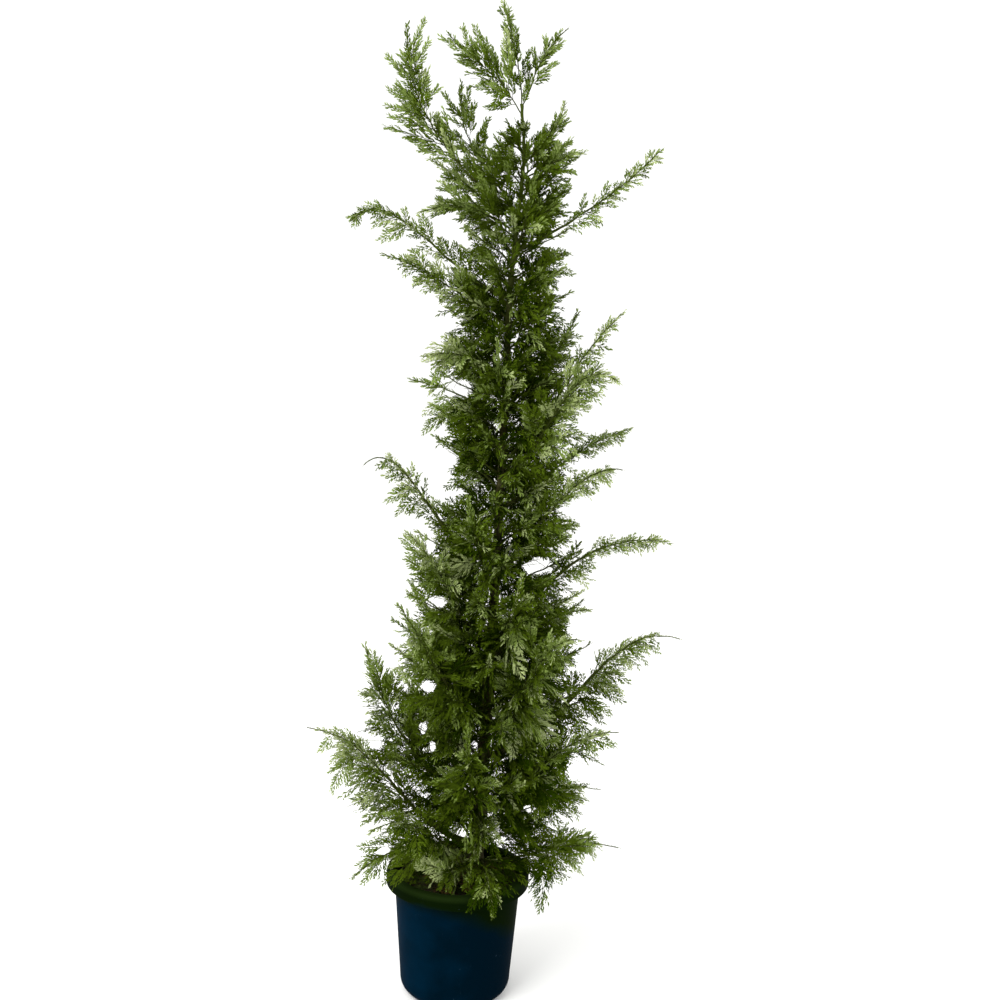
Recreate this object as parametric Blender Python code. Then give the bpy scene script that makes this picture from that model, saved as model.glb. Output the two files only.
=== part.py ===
"""Potted Leyland cypress: a slim young conifer about 1.9 m tall in a round nursery pot.

The trunk rises from the compost and is one limb up to its fork. Shoots leave it all the way up. The
longest of them start as a bare limb, and each ends in a mass of foliage: a stem, twigs that branch
from it by one seeded rule, and a toothed blade on each twig for its spray of scale leaves.

Metres, +Z up. The origin is the middle of the pot's flat underside. An azimuth is in degrees about
+Z from +X, so 180 is to the left of the front view and -90 comes towards it.
"""

import math
import random
from collections import namedtuple

import bmesh
import bpy
from mathutils import Matrix, Vector
from mathutils.bvhtree import BVHTree

GAP = 0.0003  # what solids that meet keep between them

# Pot: a moulded container with a rolled rim, of about 10 litres
POT_HEIGHT = 0.255
POT_FOOT_RADIUS = 0.0825
POT_HEEL_RADIUS = 0.028  # rounding between the underside and the wall
POT_WALL_FOOT_RADIUS = 0.1105
POT_WALL_TOP_RADIUS = 0.1255
POT_WALL = 0.003
POT_FLOOR = 0.004
RIM_RADIUS = 0.1426
RIM_DEPTH = 0.027
RIM_ROUNDING = 0.009
POT_SIDES = 32
DRAIN_HOLES = 6
DRAIN_HOLE_RADIUS = 0.007
DRAIN_RING_RADIUS = 0.055

# Compost inside the pot, just below the rim
SOIL_LEVEL = 0.232

# Trunk: middle line from the compost to the fork, then its taper
TRUNK_LINE = (
    Vector((0.034, 0.000, SOIL_LEVEL + GAP)),
    Vector((0.043, 0.004, 0.450)),
    Vector((0.055, 0.003, 0.800)),
    Vector((0.063, -0.004, 1.180)),
    Vector((0.067, -0.002, 1.420)),
    Vector((0.083, 0.002, 1.640)),
    Vector((0.076, 0.000, 1.742)),
)
TRUNK_BASE_RADIUS = 0.0135
TRUNK_FORK_RADIUS = 0.0034
FLARE = 0.0085
FLARE_HEIGHT = 0.022
FLARE_LEVELS = (0, 0.35, 0.8, 1.5, 2.6)  # heights of the flare's rings, for a flare 1 high
ROOT_LOBES = 5
ROOT_LOBE = 0.35  # how far the lobes stand out, for a flare of 1
TRUNK_SIDES = 8
TRUNK_RINGS = 9  # those above the flare

# Shoots: how thick a limb is for its length, and how thin it gets
LIMB_RADIUS = 0.0026
LIMB_RADIUS_PER_METRE = 0.0075
TIP_RADIUS = 0.0009
LIMB_SIDES = 5
LIMB_RINGS = 4
STEM_SIDES = 3
STEM_RINGS = 4
HANDLE = 0.38  # a path's handles, as a share of the straight line between its ends
LEADER_RISE = 80  # a shoot as steep as this carries on from the trunk's end

# Twigs, each one a toothed blade for its flat spray of scale leaves
TWIG_STEP = 0.30  # distance between twigs along a stem, for a spread of 1
TWIG_LEAST_STEP = 0.018
TWIG_ANGLE = 43
YOUNG_FROM = 1.35  # shoots that start above this are young, and their twigs lie closer to the stem
YOUNG_SPAN = 0.25  # height in which they get fully so
YOUNG_CLOSER = 12
HANG = 1.1  # how much a twig's tip hangs at the foot of the crown, for a shoot with a reach of 1
HANG_LEAST = 0.1  # share of it that is left at the top
HANG_TOP = 1.5  # it grows downwards from this height
HANG_SPAN = 1.0
UPPER_SHORTER = 0.2  # how much shorter twigs are above a hanging shoot than to its sides
SHORTEST_TWIG = 0.034
GOLDEN_TURN = 137.5
BLADE_WIDTH = 0.56  # width for a twig's length of 1
BLADE_THICKNESS = 0.030
BLADE_CREST = 0.48  # where a blade is thickest, as a share of the twig's length
FIRST_TOOTH = 0.34  # where its teeth start, also as a share
TOOTH_LENGTH = 0.34  # from a tooth's point on to the notch before the next, for teeth 1 apart
TOOTH_CUT = 0.56  # how deep the blade is cut between its teeth, as a share of its half width
SHORT_BLADE = 0.045  # twigs shorter than this have one pair of teeth
LONG_BLADE = 0.105  # and those longer than this have three
END_TWIG = 0.52  # the twig that a stem runs out into, for a spread of 1
END_TURN = 25  # its roll out of level
END_SUNK = 0.3  # how far it is sunk in the last piece of its stem
BLADE_START = 0.3  # the outer part of a twig, which crosses no other on its stem, starts here
CLEARANCE = 0.0007  # room that a mass leaves to every other node
TRIES = 8

Shoot = namedtuple("Shoot", "name height azimuth reach tip rise nod spread limb plume fan", defaults=(1,))

# height: where it leaves the trunk. reach: from the trunk out to the tip. tip: the tip's height.
# rise and nod: slope at the foot and at the tip. spread: its longest twig.
# limb: share of its length that is a bare limb; 0 is a shoot with foliage from the trunk on.
# plume: half width of the foliage that clothes its stem.
# fan: how far its twigs stand out above and below it, for 1 to its sides.
OUTLINE_SHOOTS = (
    Shoot("top_leader", 1.742, 180, 0.040, 1.920, 86, 72, 0.046, 0, 0.004),
    Shoot("top_left", 1.722, 176, 0.140, 1.862, 64, 44, 0.118, 0, 0.004, 1.6),
    Shoot("top_right", 1.738, -12, 0.083, 1.877, 70, 40, 0.052, 0, 0.004, 1),
    Shoot("crown_left", 1.542, 190, 0.215, 1.868, 33, 90, 0.118, 0.22, 0.006, 1.8),
    Shoot("crown_inner_left", 1.600, 145, 0.146, 1.788, 4, 98, 0.120, 0, 0.007, 1.5),
    Shoot("crown_right", 1.640, 35, 0.090, 1.750, 22, 72, 0.078, 0, 0.008, 1.3),
    Shoot("shoulder_right", 1.610, -36, 0.134, 1.652, 17, 4, 0.088, 0, 0.008),
    Shoot("shoulder_back", 1.530, 56, 0.170, 1.570, 14, 8, 0.125, 0, 0.010),
    Shoot("shoulder_left_high", 1.530, 170, 0.170, 1.640, 28, 28, 0.115, 0, 0.009),
    Shoot("shoulder_left", 1.510, 216, 0.215, 1.535, 30, -21, 0.115, 0, 0.010),
    Shoot("upper_right_long", 1.474, -12, 0.265, 1.663, 29, 46, 0.040, 0.20, 0.004, 1.5),
    Shoot("upper_right_back", 1.425, 50, 0.175, 1.475, 18, -5, 0.125, 0, 0.010),
    Shoot("upper_left_long", 1.390, 183, 0.303, 1.515, 15, -54, 0.040, 0.24, 0.005, 0.6),
    Shoot("upper_left", 1.340, 206, 0.255, 1.461, 27, 13, 0.092, 0, 0.007, 1.4),
    Shoot("middle_left_front", 1.244, 228, 0.222, 1.284, 25, -10, 0.122, 0, 0.011),
    Shoot("middle_left_back", 1.160, 152, 0.210, 1.222, 26, 4, 0.108, 0, 0.011),
    Shoot("waist_left", 1.115, 140, 0.192, 1.172, 26, 7, 0.080, 0, 0.011),
    Shoot("waist_left_long", 0.890, 190, 0.263, 1.066, 4, -48, 0.050, 0.24, 0.005, 0.7),
    Shoot("lower_left_upright", 0.707, 222, 0.218, 0.962, 42, 37, 0.130, 0, 0.011),
    Shoot("lower_left_back", 0.640, 140, 0.219, 0.806, 42, 53, 0.155, 0, 0.012),
    Shoot("lower_left_side", 0.564, 234, 0.277, 0.844, 30, 46, 0.155, 0, 0.012),
    Shoot("foot_left_tall", 0.399, 188, 0.235, 0.716, 29, 74, 0.178, 0.20, 0.012, 1.5),
    Shoot("foot_left_back", 0.440, 130, 0.281, 0.602, 33, 48, 0.165, 0, 0.012),
    Shoot("foot_left_far", 0.310, 196, 0.351, 0.570, 18, 9, 0.168, 0.20, 0.008),
    Shoot("foot_left_low", 0.290, 226, 0.284, 0.408, 22, -14, 0.145, 0, 0.011),
    Shoot("rim_left", 0.268, 174, 0.250, 0.214, 30, -50, 0.165, 0, 0.006),
    Shoot("middle_right_back", 1.197, 42, 0.183, 1.363, 32, 64, 0.105, 0, 0.011),
    Shoot("middle_right_long", 1.082, -8, 0.218, 1.370, 45, 45, 0.068, 0, 0.007),
    Shoot("middle_right_front", 1.040, -42, 0.272, 1.252, 34, -27, 0.140, 0, 0.011),
    Shoot("waist_right", 0.990, 16, 0.259, 1.141, 31, 14, 0.048, 0, 0.007),
    Shoot("waist_right_front", 0.900, -40, 0.291, 1.096, 27, 2, 0.084, 0, 0.011),
    Shoot("waist_right_back", 0.852, 52, 0.275, 0.920, 27, -13, 0.102, 0, 0.012),
    Shoot("lower_right_long", 0.718, -8, 0.335, 0.940, 57, -8, 0.060, 0.22, 0.006, 0.7),
    Shoot("lower_right_back", 0.660, 50, 0.327, 0.732, 33, -10, 0.120, 0, 0.012),
    Shoot("lower_right_front", 0.560, -55, 0.287, 0.794, 26, 9, 0.155, 0, 0.012),
    Shoot("foot_right_long", 0.490, 6, 0.391, 0.727, 12, -22, 0.104, 0.20, 0.008, 0.7),
    Shoot("foot_right", 0.388, -30, 0.300, 0.597, 31, 9, 0.150, 0, 0.012),
    Shoot("foot_right_back", 0.318, 42, 0.355, 0.336, 24, -23, 0.172, 0, 0.011),
    Shoot("rim_right", 0.272, -12, 0.289, 0.332, 8, -10, 0.120, 0, 0.007, 1.5),
    Shoot("rim_front", 0.280, -78, 0.165, 0.232, 34, -62, 0.105, 0, 0.006),
    Shoot("rim_front_left", 0.258, -116, 0.150, 0.272, 36, -40, 0.120, 0, 0.007),
)

# Shoots towards the front and the back, which fill the crown between those of its outline
FILL_SHOOTS = 8
FILL_FOOT = 0.345
FILL_TOP = 1.470
FILL_REACH_AT_FOOT = 0.190
FILL_REACH_AT_TOP = 0.090
FILL_SIDES = (-98, 88, -70, -112, 106)  # azimuths, taken in turn from the foot up
FILL_RISE = 44
FILL_NOD = 66
FILL_CLIMB = 1.4  # how far the tip is above the foot, for a reach of 1
FILL_SPREAD = 0.150
FILL_PLUME = 0.010
FILL_FAN = 0.4


def clear_scene():
    for obj in list(bpy.data.objects):
        bpy.data.objects.remove(obj)


def material(name, colour, roughness):
    """A plain finish in linear colour."""
    finish = bpy.data.materials.new(name)
    finish.use_nodes = True
    shader = finish.node_tree.nodes["Principled BSDF"]
    shader.inputs["Base Color"].default_value = (*colour, 1)
    shader.inputs["Roughness"].default_value = roughness
    shader.inputs["Metallic"].default_value = 0
    return finish


def solid(name, bm, finish, smooth=False):
    """A new object from a bmesh whose normals are first turned outwards."""
    bmesh.ops.recalc_face_normals(bm, faces=bm.faces)
    mesh = bpy.data.meshes.new(name)
    bm.to_mesh(mesh)
    bm.free()
    if smooth:
        mesh.shade_smooth()
        mesh.set_sharp_from_angle(angle=math.radians(40))
    obj = bpy.data.objects.new(name, mesh)
    bpy.context.scene.collection.objects.link(obj)
    mesh.materials.append(finish)
    return obj


def arc(centre, radius, start, end, steps):
    """Points of an arc in the (radius, height) plane, angles in degrees."""
    turns = (math.radians(start + (end - start) * i / steps) for i in range(steps + 1))
    return [(centre[0] + radius * math.cos(a), centre[1] + radius * math.sin(a)) for a in turns]


def turned(outline, sides):
    """A closed body turned about Z from a closed outline that starts and ends on the axis."""
    bm = bmesh.new()
    low = bm.verts.new((0, 0, outline[0][1]))
    high = bm.verts.new((0, 0, outline[-1][1]))
    turns = [2 * math.pi * i / sides for i in range(sides)]
    rings = [
        [bm.verts.new((r * math.cos(a), r * math.sin(a), z)) for a in turns]
        for r, z in outline[1:-1]
    ]
    for i in range(sides):
        j = (i + 1) % sides
        bm.faces.new((low, rings[0][j], rings[0][i]))
        for near, far in zip(rings, rings[1:]):
            bm.faces.new((near[i], near[j], far[j], far[i]))
        bm.faces.new((high, rings[-1][i], rings[-1][j]))
    return bm


def tube(centres, radii, sides, normals):
    """A closed limb: rings about the centres, each in the plane that its normal gives."""
    bm = bmesh.new()
    rings = []
    up = Vector((0, 0, 1)) if abs(normals[0].z) < 0.9 else Vector((0, 1, 0))
    for centre, radius, normal in zip(centres, radii, normals):
        side = normal.cross(up).normalized()
        up = side.cross(normal).normalized()
        turns = (2 * math.pi * i / sides for i in range(sides))
        rings.append([bm.verts.new(centre + radius * (side * math.cos(a) + up * math.sin(a))) for a in turns])
    for near, far in zip(rings, rings[1:]):
        for i in range(sides):
            j = (i + 1) % sides
            bm.faces.new((near[i], near[j], far[j], far[i]))
    bm.faces.new(rings[0][::-1])
    bm.faces.new(rings[-1])
    return bm


# Pot and compost


def wall_radius(height):
    """The pot wall's outer radius at a height."""
    share = (height - POT_HEEL_RADIUS) / (POT_HEIGHT - RIM_DEPTH - POT_HEEL_RADIUS)
    return POT_WALL_FOOT_RADIUS + share * (POT_WALL_TOP_RADIUS - POT_WALL_FOOT_RADIUS)


def inner_radius(height):
    """The radius inside the pot, whose wall thins from its heel to its mouth."""
    share = (height - POT_HEEL_RADIUS) / (POT_HEIGHT - POT_HEEL_RADIUS)
    foot = POT_WALL_FOOT_RADIUS - POT_FLOOR
    return foot + share * (wall_radius(POT_HEIGHT) - POT_WALL - foot)


def heel(room):
    """The rounding between floor and wall, drawn in by an amount, from the floor up."""
    return arc((POT_FOOT_RADIUS, POT_HEEL_RADIUS), POT_HEEL_RADIUS - room, -90, 0, 3)


def pot_outline():
    """Half section of the pot, from the middle of its underside round its turned-down lip to its floor."""
    lip_foot = POT_HEIGHT - RIM_DEPTH
    lip_inside = RIM_RADIUS - POT_WALL
    channel = POT_HEIGHT - POT_WALL
    outside = [(0, 0)] + heel(0) + [(wall_radius(channel), channel), (lip_inside, channel), (lip_inside, lip_foot)]
    rounding = (RIM_RADIUS - RIM_ROUNDING, POT_HEIGHT - RIM_ROUNDING)
    lip = [(RIM_RADIUS - POT_WALL / 3, lip_foot), (RIM_RADIUS, lip_foot + POT_WALL / 2)]
    lip += arc(rounding, RIM_ROUNDING, 0, 90, 3)
    mouth = [(inner_radius(POT_HEIGHT) + POT_WALL, POT_HEIGHT), (inner_radius(channel), channel)]
    return outside + lip + mouth + heel(POT_FLOOR)[::-1] + [(0, POT_FLOOR)]


def make_pot(finish):
    pot = solid("pot", turned(pot_outline(), POT_SIDES), finish, smooth=True)
    for i in range(DRAIN_HOLES):
        turn = 2 * math.pi * (i + 0.5) / DRAIN_HOLES
        bm = bmesh.new()
        bmesh.ops.create_cone(
            bm,
            cap_ends=True,
            segments=8,
            radius1=DRAIN_HOLE_RADIUS,
            radius2=DRAIN_HOLE_RADIUS,
            depth=4 * POT_FLOOR,
            matrix=Matrix.Translation(
                (DRAIN_RING_RADIUS * math.cos(turn), DRAIN_RING_RADIUS * math.sin(turn), POT_FLOOR / 2)
            ),
        )
        cutter = solid(f"drain_cutter_{i}", bm, finish)
        cutter.hide_render = True
        cutter.display_type = "WIRE"
        cut = pot.modifiers.new(f"drain_{i}", "BOOLEAN")
        cut.operation = "DIFFERENCE"
        cut.solver = "MANIFOLD"
        cut.object = cutter
    return pot


def make_soil(finish):
    """The compost, which fills the pot up to its level."""
    edge = inner_radius(SOIL_LEVEL) - 1.5 * GAP
    outline = [(0, POT_FLOOR + GAP)] + heel(POT_FLOOR + GAP) + [(edge, SOIL_LEVEL), (0, SOIL_LEVEL)]
    return solid("soil", turned(outline, POT_SIDES), finish)


# Trunk


def trunk_centre(height):
    """The trunk's middle at a height, on a smooth line through its points."""
    knots = TRUNK_LINE
    last = len(knots) - 2
    i = max(0, min(last, next((k for k in range(last + 1) if height <= knots[k + 1].z), last)))
    start, end = knots[i], knots[i + 1]
    before, after = knots[max(0, i - 1)], knots[min(len(knots) - 1, i + 2)]
    span = end.z - start.z
    t = (height - start.z) / span
    slope_in = (end - before) * span / (end.z - before.z)
    slope_out = (after - start) * span / (after.z - start.z)
    point = (
        start * (2 * t**3 - 3 * t**2 + 1)
        + slope_in * (t**3 - 2 * t**2 + t)
        + end * (3 * t**2 - 2 * t**3)
        + slope_out * (t**3 - t**2)
    )
    return Vector((point.x, point.y, height))


def trunk_radius(height):
    """The trunk's radius at a height, with the root flare at its foot."""
    foot, fork = TRUNK_LINE[0].z, TRUNK_LINE[-1].z
    share = (height - foot) / (fork - foot)
    taper = TRUNK_BASE_RADIUS + (TRUNK_FORK_RADIUS - TRUNK_BASE_RADIUS) * share**0.9
    return taper + FLARE * math.exp(-(height - foot) / FLARE_HEIGHT)


def make_trunk(finish):
    foot, fork = TRUNK_LINE[0].z, TRUNK_LINE[-1].z
    heights = [foot + FLARE_HEIGHT * level for level in FLARE_LEVELS]
    clear_stem = heights[-1]
    heights += [clear_stem + (fork - clear_stem) * (i + 1) / TRUNK_RINGS for i in range(TRUNK_RINGS)]
    bm = bmesh.new()
    levels = []
    for height in heights:
        centre = trunk_centre(height)
        lobe = ROOT_LOBE * FLARE * math.exp(-(height - foot) / FLARE_HEIGHT)
        ring = []
        for i in range(TRUNK_SIDES):
            turn = 2 * math.pi * i / TRUNK_SIDES
            radius = trunk_radius(height) + lobe * math.cos(ROOT_LOBES * turn)
            ring.append(bm.verts.new(centre + radius * Vector((math.cos(turn), math.sin(turn), 0))))
        levels.append(ring)
    for near, far in zip(levels, levels[1:]):
        for i in range(TRUNK_SIDES):
            j = (i + 1) % TRUNK_SIDES
            bm.faces.new((near[i], near[j], far[j], far[i]))
    bm.faces.new(levels[0][::-1])
    bm.faces.new(levels[-1])
    return solid("trunk", bm, finish, smooth=True)


# Shoots


def fill_shoots():
    """Shoots to the front and the back, evenly up the trunk and shorter towards the top."""
    made = []
    for i in range(FILL_SHOOTS):
        share = i / (FILL_SHOOTS - 1)
        height = FILL_FOOT + share * (FILL_TOP - FILL_FOOT)
        reach = FILL_REACH_AT_FOOT + share * (FILL_REACH_AT_TOP - FILL_REACH_AT_FOOT)
        azimuth = FILL_SIDES[i % len(FILL_SIDES)]
        side = "front" if azimuth < 0 else "back"
        tip = height + FILL_CLIMB * reach
        spread = FILL_SPREAD * (1 - 0.2 * share)
        shape = (FILL_RISE, FILL_NOD, spread, 0, FILL_PLUME, FILL_FAN)
        made.append(Shoot(f"fill_{side}_{i}", height, azimuth, reach, tip, *shape))
    return made


def heading(azimuth, slope):
    """Unit vector for an azimuth and a slope above level, in degrees."""
    a, s = math.radians(azimuth), math.radians(slope)
    return Vector((math.cos(a) * math.cos(s), math.sin(a) * math.cos(s), math.sin(s)))


class Path:
    """A shoot's curved middle line, from the trunk's surface to its tip, and the rings along it."""

    def __init__(self, shoot):
        out = heading(shoot.azimuth, 0)
        middle = trunk_centre(shoot.height)
        radius = trunk_radius(shoot.height)
        self.leads = shoot.rise >= LEADER_RISE
        self.start = middle + (Vector((0, 0, GAP)) if self.leads else out * (radius + GAP))
        self.end = middle + out * shoot.reach
        self.end.z = shoot.tip
        chord = (self.end - self.start).length * HANDLE
        self.near = self.start + heading(shoot.azimuth, shoot.rise) * chord
        self.far = self.end - heading(shoot.azimuth, shoot.nod) * chord
        self.length = sum((self.at((i + 1) / 16) - self.at(i / 16)).length for i in range(16))
        self.cap = Vector((0, 0, 1)) if self.leads else out
        foot = shoot.limb + (GAP / self.length if shoot.limb else 0)
        self.limb_rings = [shoot.limb * i / LIMB_RINGS for i in range(LIMB_RINGS + 1)]
        end = 1 - END_TWIG * shoot.spread / self.length
        self.stem_rings = [foot + (end - foot) * i / STEM_RINGS for i in range(STEM_RINGS + 1)]

    def in_stem(self, t):
        """The middle of the stem's straight piece that t lies on, where a twig's root is sunk."""
        after = next((k for k in self.stem_rings[1:] if t <= k), self.stem_rings[-1])
        before = self.stem_rings[self.stem_rings.index(after) - 1]
        return self.at(before).lerp(self.at(after), (t - before) / (after - before))

    def at(self, t):
        u = 1 - t
        return (
            self.start * u**3
            + self.near * 3 * u**2 * t
            + self.far * 3 * u * t**2
            + self.end * t**3
        )

    def tangent(self, t):
        u = 1 - t
        slope = (
            (self.near - self.start) * u**2
            + (self.far - self.near) * 2 * u * t
            + (self.end - self.far) * t**2
        )
        return slope.normalized()

    def radius(self, t):
        foot = min(LIMB_RADIUS + LIMB_RADIUS_PER_METRE * self.length, 0.8 * trunk_radius(self.start.z))
        return TIP_RADIUS + (foot - TIP_RADIUS) * (1 - t) ** 0.8

    def clothed(self, t, plume):
        """The stem's radius with the foliage that clothes it, which swells from nothing and tapers to nothing."""
        share = (t - self.stem_rings[0]) / (self.stem_rings[-1] - self.stem_rings[0])
        swell = abs(math.sin(math.pi * share**0.75)) ** 0.8
        return self.radius(t) + plume * swell * (1.1 - 0.4 * share)


def stretch(path, shares, radii, sides):
    """The limb or stem through rings of a path. One that starts at the trunk has its first ring flat to it."""
    normals = [path.tangent(t) for t in shares]
    if shares[0] == 0:
        normals[0] = path.cap
    return tube([path.at(t) for t in shares], radii, sides, normals)


def make_limb(shoot, path, finish):
    radii = [path.radius(t) for t in path.limb_rings]
    return solid(f"limb_{shoot.name}", stretch(path, path.limb_rings, radii, LIMB_SIDES), finish, smooth=True)


def stem_shape(shoot, path, plume):
    radii = [path.clothed(t, plume) for t in path.stem_rings]
    return stretch(path, path.stem_rings, radii, STEM_SIDES)


def seat_on(path, bark):
    """Moves a path's foot out from the trunk until its flat end keeps the gap to the bark."""
    step = GAP / 6
    radius = path.radius(0)
    side = path.cap.cross(path.tangent(0.02) + Vector((0.01, 0.02, 0))).normalized()
    up = side.cross(path.cap)
    for _ in range(200):
        corners = [path.start]
        for i in range(12):
            turn = 2 * math.pi * i / 12
            for share in (0.5, 1):
                corners.append(path.start + share * radius * (side * math.cos(turn) + up * math.sin(turn)))
        nearest = min(bark.find_nearest(corner)[3] for corner in corners)
        if GAP <= nearest < 2 * GAP:
            break
        path.start += path.cap * (step if nearest < GAP else -step)


# Foliage


def blade_swell(share):
    """A blade's half width at its teeth, for a widest of 1."""
    return 1 - 0.72 * ((share - FIRST_TOOTH) / (1 - FIRST_TOOTH)) ** 1.3


def twig(root, along, normal, length, grow=0.0):
    """A twig as one toothed blade that widens from its sunk root, with a crest on each face."""
    across = normal.cross(along).normalized()
    teeth = 1 + (length > SHORT_BLADE) + (length > LONG_BLADE)
    half = BLADE_WIDTH * length / 2
    crest = root + along * (BLADE_CREST * length)
    side = []
    step = (1 - FIRST_TOOTH) / teeth
    for k in range(teeth):
        tooth = FIRST_TOOTH + k * step
        notch = tooth + TOOTH_LENGTH * step
        side.append((tooth, half * blade_swell(tooth)))
        if k < teeth - 1:
            side.append((notch, half * blade_swell(notch) * (1 - TOOTH_CUT)))
    edge = [(0, 0)] + side + [(1, 0)] + [(share, -wide) for share, wide in reversed(side)]
    bm = bmesh.new()
    ring = []
    for share, wide in edge:
        point = root + along * (share * length) + across * wide
        ring.append(bm.verts.new(point + (point - crest).normalized() * grow))
    thick = normal * (BLADE_THICKNESS * length / 2 + grow)
    high, low = bm.verts.new(crest + thick), bm.verts.new(crest - thick)
    for near, far in zip(ring, ring[1:] + ring[:1]):
        bm.faces.new((high, near, far))
        bm.faces.new((low, far, near))
    bmesh.ops.recalc_face_normals(bm, faces=bm.faces)
    return bm


def envelope(share):
    """How long a twig is along its stem, for a longest twig of 1."""
    return (0.62 + 1.5 * share) if share < 0.25 else 1 - 0.78 * ((share - 0.25) / 0.75) ** 0.9


def youth(shoot):
    """From 0 for the shoots of the older crown to 1 for the youngest, at the top."""
    return min(1, max(0, (shoot.height - YOUNG_FROM) / YOUNG_SPAN))


def fall(shoot):
    """How far a shoot's twigs hang: 1 in the lower crown, and little at the top."""
    return min(1, max(HANG_LEAST, (HANG_TOP - shoot.height) / HANG_SPAN))


def twig_plan(shoot, path):
    """Each twig of a mass by its seeded rule: (share of the stem, roll about it, angle, length, twist)."""
    chance = random.Random(shoot.name)
    start, end = shoot.limb + 0.06, path.stem_rings[-1]
    step = max(TWIG_LEAST_STEP, TWIG_STEP * shoot.spread)
    count = max(4, round(path.length * (1 - shoot.limb) / step))
    plan = []
    for i in range(count):
        share = (i + 0.5) / count
        t = start + (end - start) * share
        roll = GOLDEN_TURN * i + chance.uniform(-20, 20)
        angle = TWIG_ANGLE - YOUNG_CLOSER * youth(shoot) + chance.uniform(-7, 9)
        shorter = 1 - UPPER_SHORTER * fall(shoot) * max(0, math.sin(math.radians(roll)))
        length = shoot.spread * shorter * envelope(share) * chance.uniform(0.85, 1.12)
        plan.append((t, roll, angle, max(length, SHORTEST_TWIG), chance.uniform(-35, 35)))
    return plan


def twig_frame(shoot, path, t, roll, angle, twist):
    """Where a twig starts, which way it runs and the normal of its blade."""
    tangent = path.tangent(t)
    side = tangent.cross(Vector((0, 0, 1)))
    side = side.normalized() if side.length > 0.2 else path.cap.cross(tangent).normalized()
    lift = side.cross(tangent)
    turn = math.radians(roll)
    outward = (side * math.cos(turn) + lift * math.sin(turn) * shoot.fan).normalized()
    lean = math.radians(angle)
    hang = Vector((0, 0, -HANG * fall(shoot) * shoot.reach))
    along = (tangent * math.cos(lean) + outward * math.sin(lean) + hang).normalized()
    normal = along.cross(tangent).normalized()
    return path.in_stem(t), along, Matrix.Rotation(math.radians(twist), 3, along) @ normal


class Placed:
    """What already stands, as (owner, tree, low corner, high corner), and the test against it."""

    def __init__(self):
        self.items = []

    def add(self, owner, bm):
        self.items.append((owner, BVHTree.FromBMesh(bm), *box(bm)))

    def meets(self, bm, counts):
        """Whether a shape meets anything of the owners that count."""
        low, high = box(bm)
        tree = BVHTree.FromBMesh(bm)
        for owner, other, other_low, other_high in self.items:
            apart = any(low[k] > other_high[k] or high[k] < other_low[k] for k in range(3))
            if not apart and counts(owner) and tree.overlap(other):
                return True
        return False


def box(bm):
    points = [v.co for v in bm.verts]
    low = Vector(min(p[k] for p in points) for k in range(3))
    high = Vector(max(p[k] for p in points) for k in range(3))
    return low, high


def evaluated(obj):
    bm = bmesh.new()
    bm.from_object(obj, bpy.context.evaluated_depsgraph_get())
    return bm


def union(stem, pieces):
    """Joins the pieces to the stem by one Boolean on a collection, and removes them."""
    group = bpy.data.collections.new("foliage")
    bpy.context.scene.collection.children.link(group)
    for piece in pieces:
        bpy.context.scene.collection.objects.unlink(piece)
        group.objects.link(piece)
    join = stem.modifiers.new("join", "BOOLEAN")
    join.operation = "UNION"
    join.operand_type = "COLLECTION"
    join.collection = group
    join.solver = "MANIFOLD"
    bpy.context.view_layer.update()
    joined = bpy.data.meshes.new_from_object(stem.evaluated_get(bpy.context.evaluated_depsgraph_get()))
    stem.modifiers.clear()
    stem.data = joined
    for piece in pieces:
        bpy.data.objects.remove(piece)
    bpy.data.collections.remove(group)
    keep_outer_shell(joined)


def keep_outer_shell(mesh):
    """Leaves only the largest closed surface, which fills any hollow that the union sealed."""
    bm = bmesh.new()
    bm.from_mesh(mesh)
    left = set(bm.faces)
    shells = []
    while left:
        edge_of = [left.pop()]
        shell = list(edge_of)
        while edge_of:
            for edge in edge_of.pop().edges:
                for face in edge.link_faces:
                    if face in left:
                        left.remove(face)
                        edge_of.append(face)
                        shell.append(face)
        shells.append(shell)
    shells.sort(key=len)
    spare = [face for shell in shells[:-1] for face in shell]
    if spare:
        bmesh.ops.delete(bm, geom=spare, context="FACES")
        bm.to_mesh(mesh)
    bm.free()


def grow_crown(bark, needles, placed):
    """Limbs first, then stems, then one twig of every mass in turn, so that none crowds out another."""
    trunk_tree = next(tree for node, tree, _, _ in placed.items if node == "trunk")
    shoots = list(OUTLINE_SHOOTS) + fill_shoots()
    paths = [Path(shoot) for shoot in shoots]
    for shoot, path in zip(shoots, paths):
        seat_on(path, trunk_tree)
        if shoot.limb:
            limb = make_limb(shoot, path, bark)
            placed.add(limb.name, evaluated(limb))
    masses = []
    for shoot, path in zip(shoots, paths):
        stem = solid(f"foliage_{shoot.name}", grow_stem(shoot, path, placed), needles)
        masses.append((shoot, path, stem, []))
    for shoot, path, stem, pieces in masses:
        pieces.extend(grow_twig(stem.name, placed, needles, end_twig_places(shoot, path)))
    plans = [twig_plan(shoot, path) for shoot, path in zip(shoots, paths)]
    for i in range(max(map(len, plans))):
        for (shoot, path, stem, pieces), plan in zip(masses, plans):
            if i < len(plan):
                places = side_twig_places(shoot, path, plan[i])
                pieces.extend(grow_twig(stem.name, placed, needles, places))
    for shoot, path, stem, pieces in masses:
        union(stem, pieces)


def grow_stem(shoot, path, placed):
    """A mass's clothed stem, as thick as the shoots beside it leave room for."""
    node = f"foliage_{shoot.name}"
    for attempt in range(TRIES):
        plume = shoot.plume * (1 - attempt / TRIES)
        if not placed.meets(stem_shape(shoot, path, plume + CLEARANCE), lambda owner: owner != node):
            shape = stem_shape(shoot, path, plume)
            placed.add(node, shape)
            return shape
    raise ValueError(f"the stem of {shoot.name} runs into another shoot")


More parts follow.
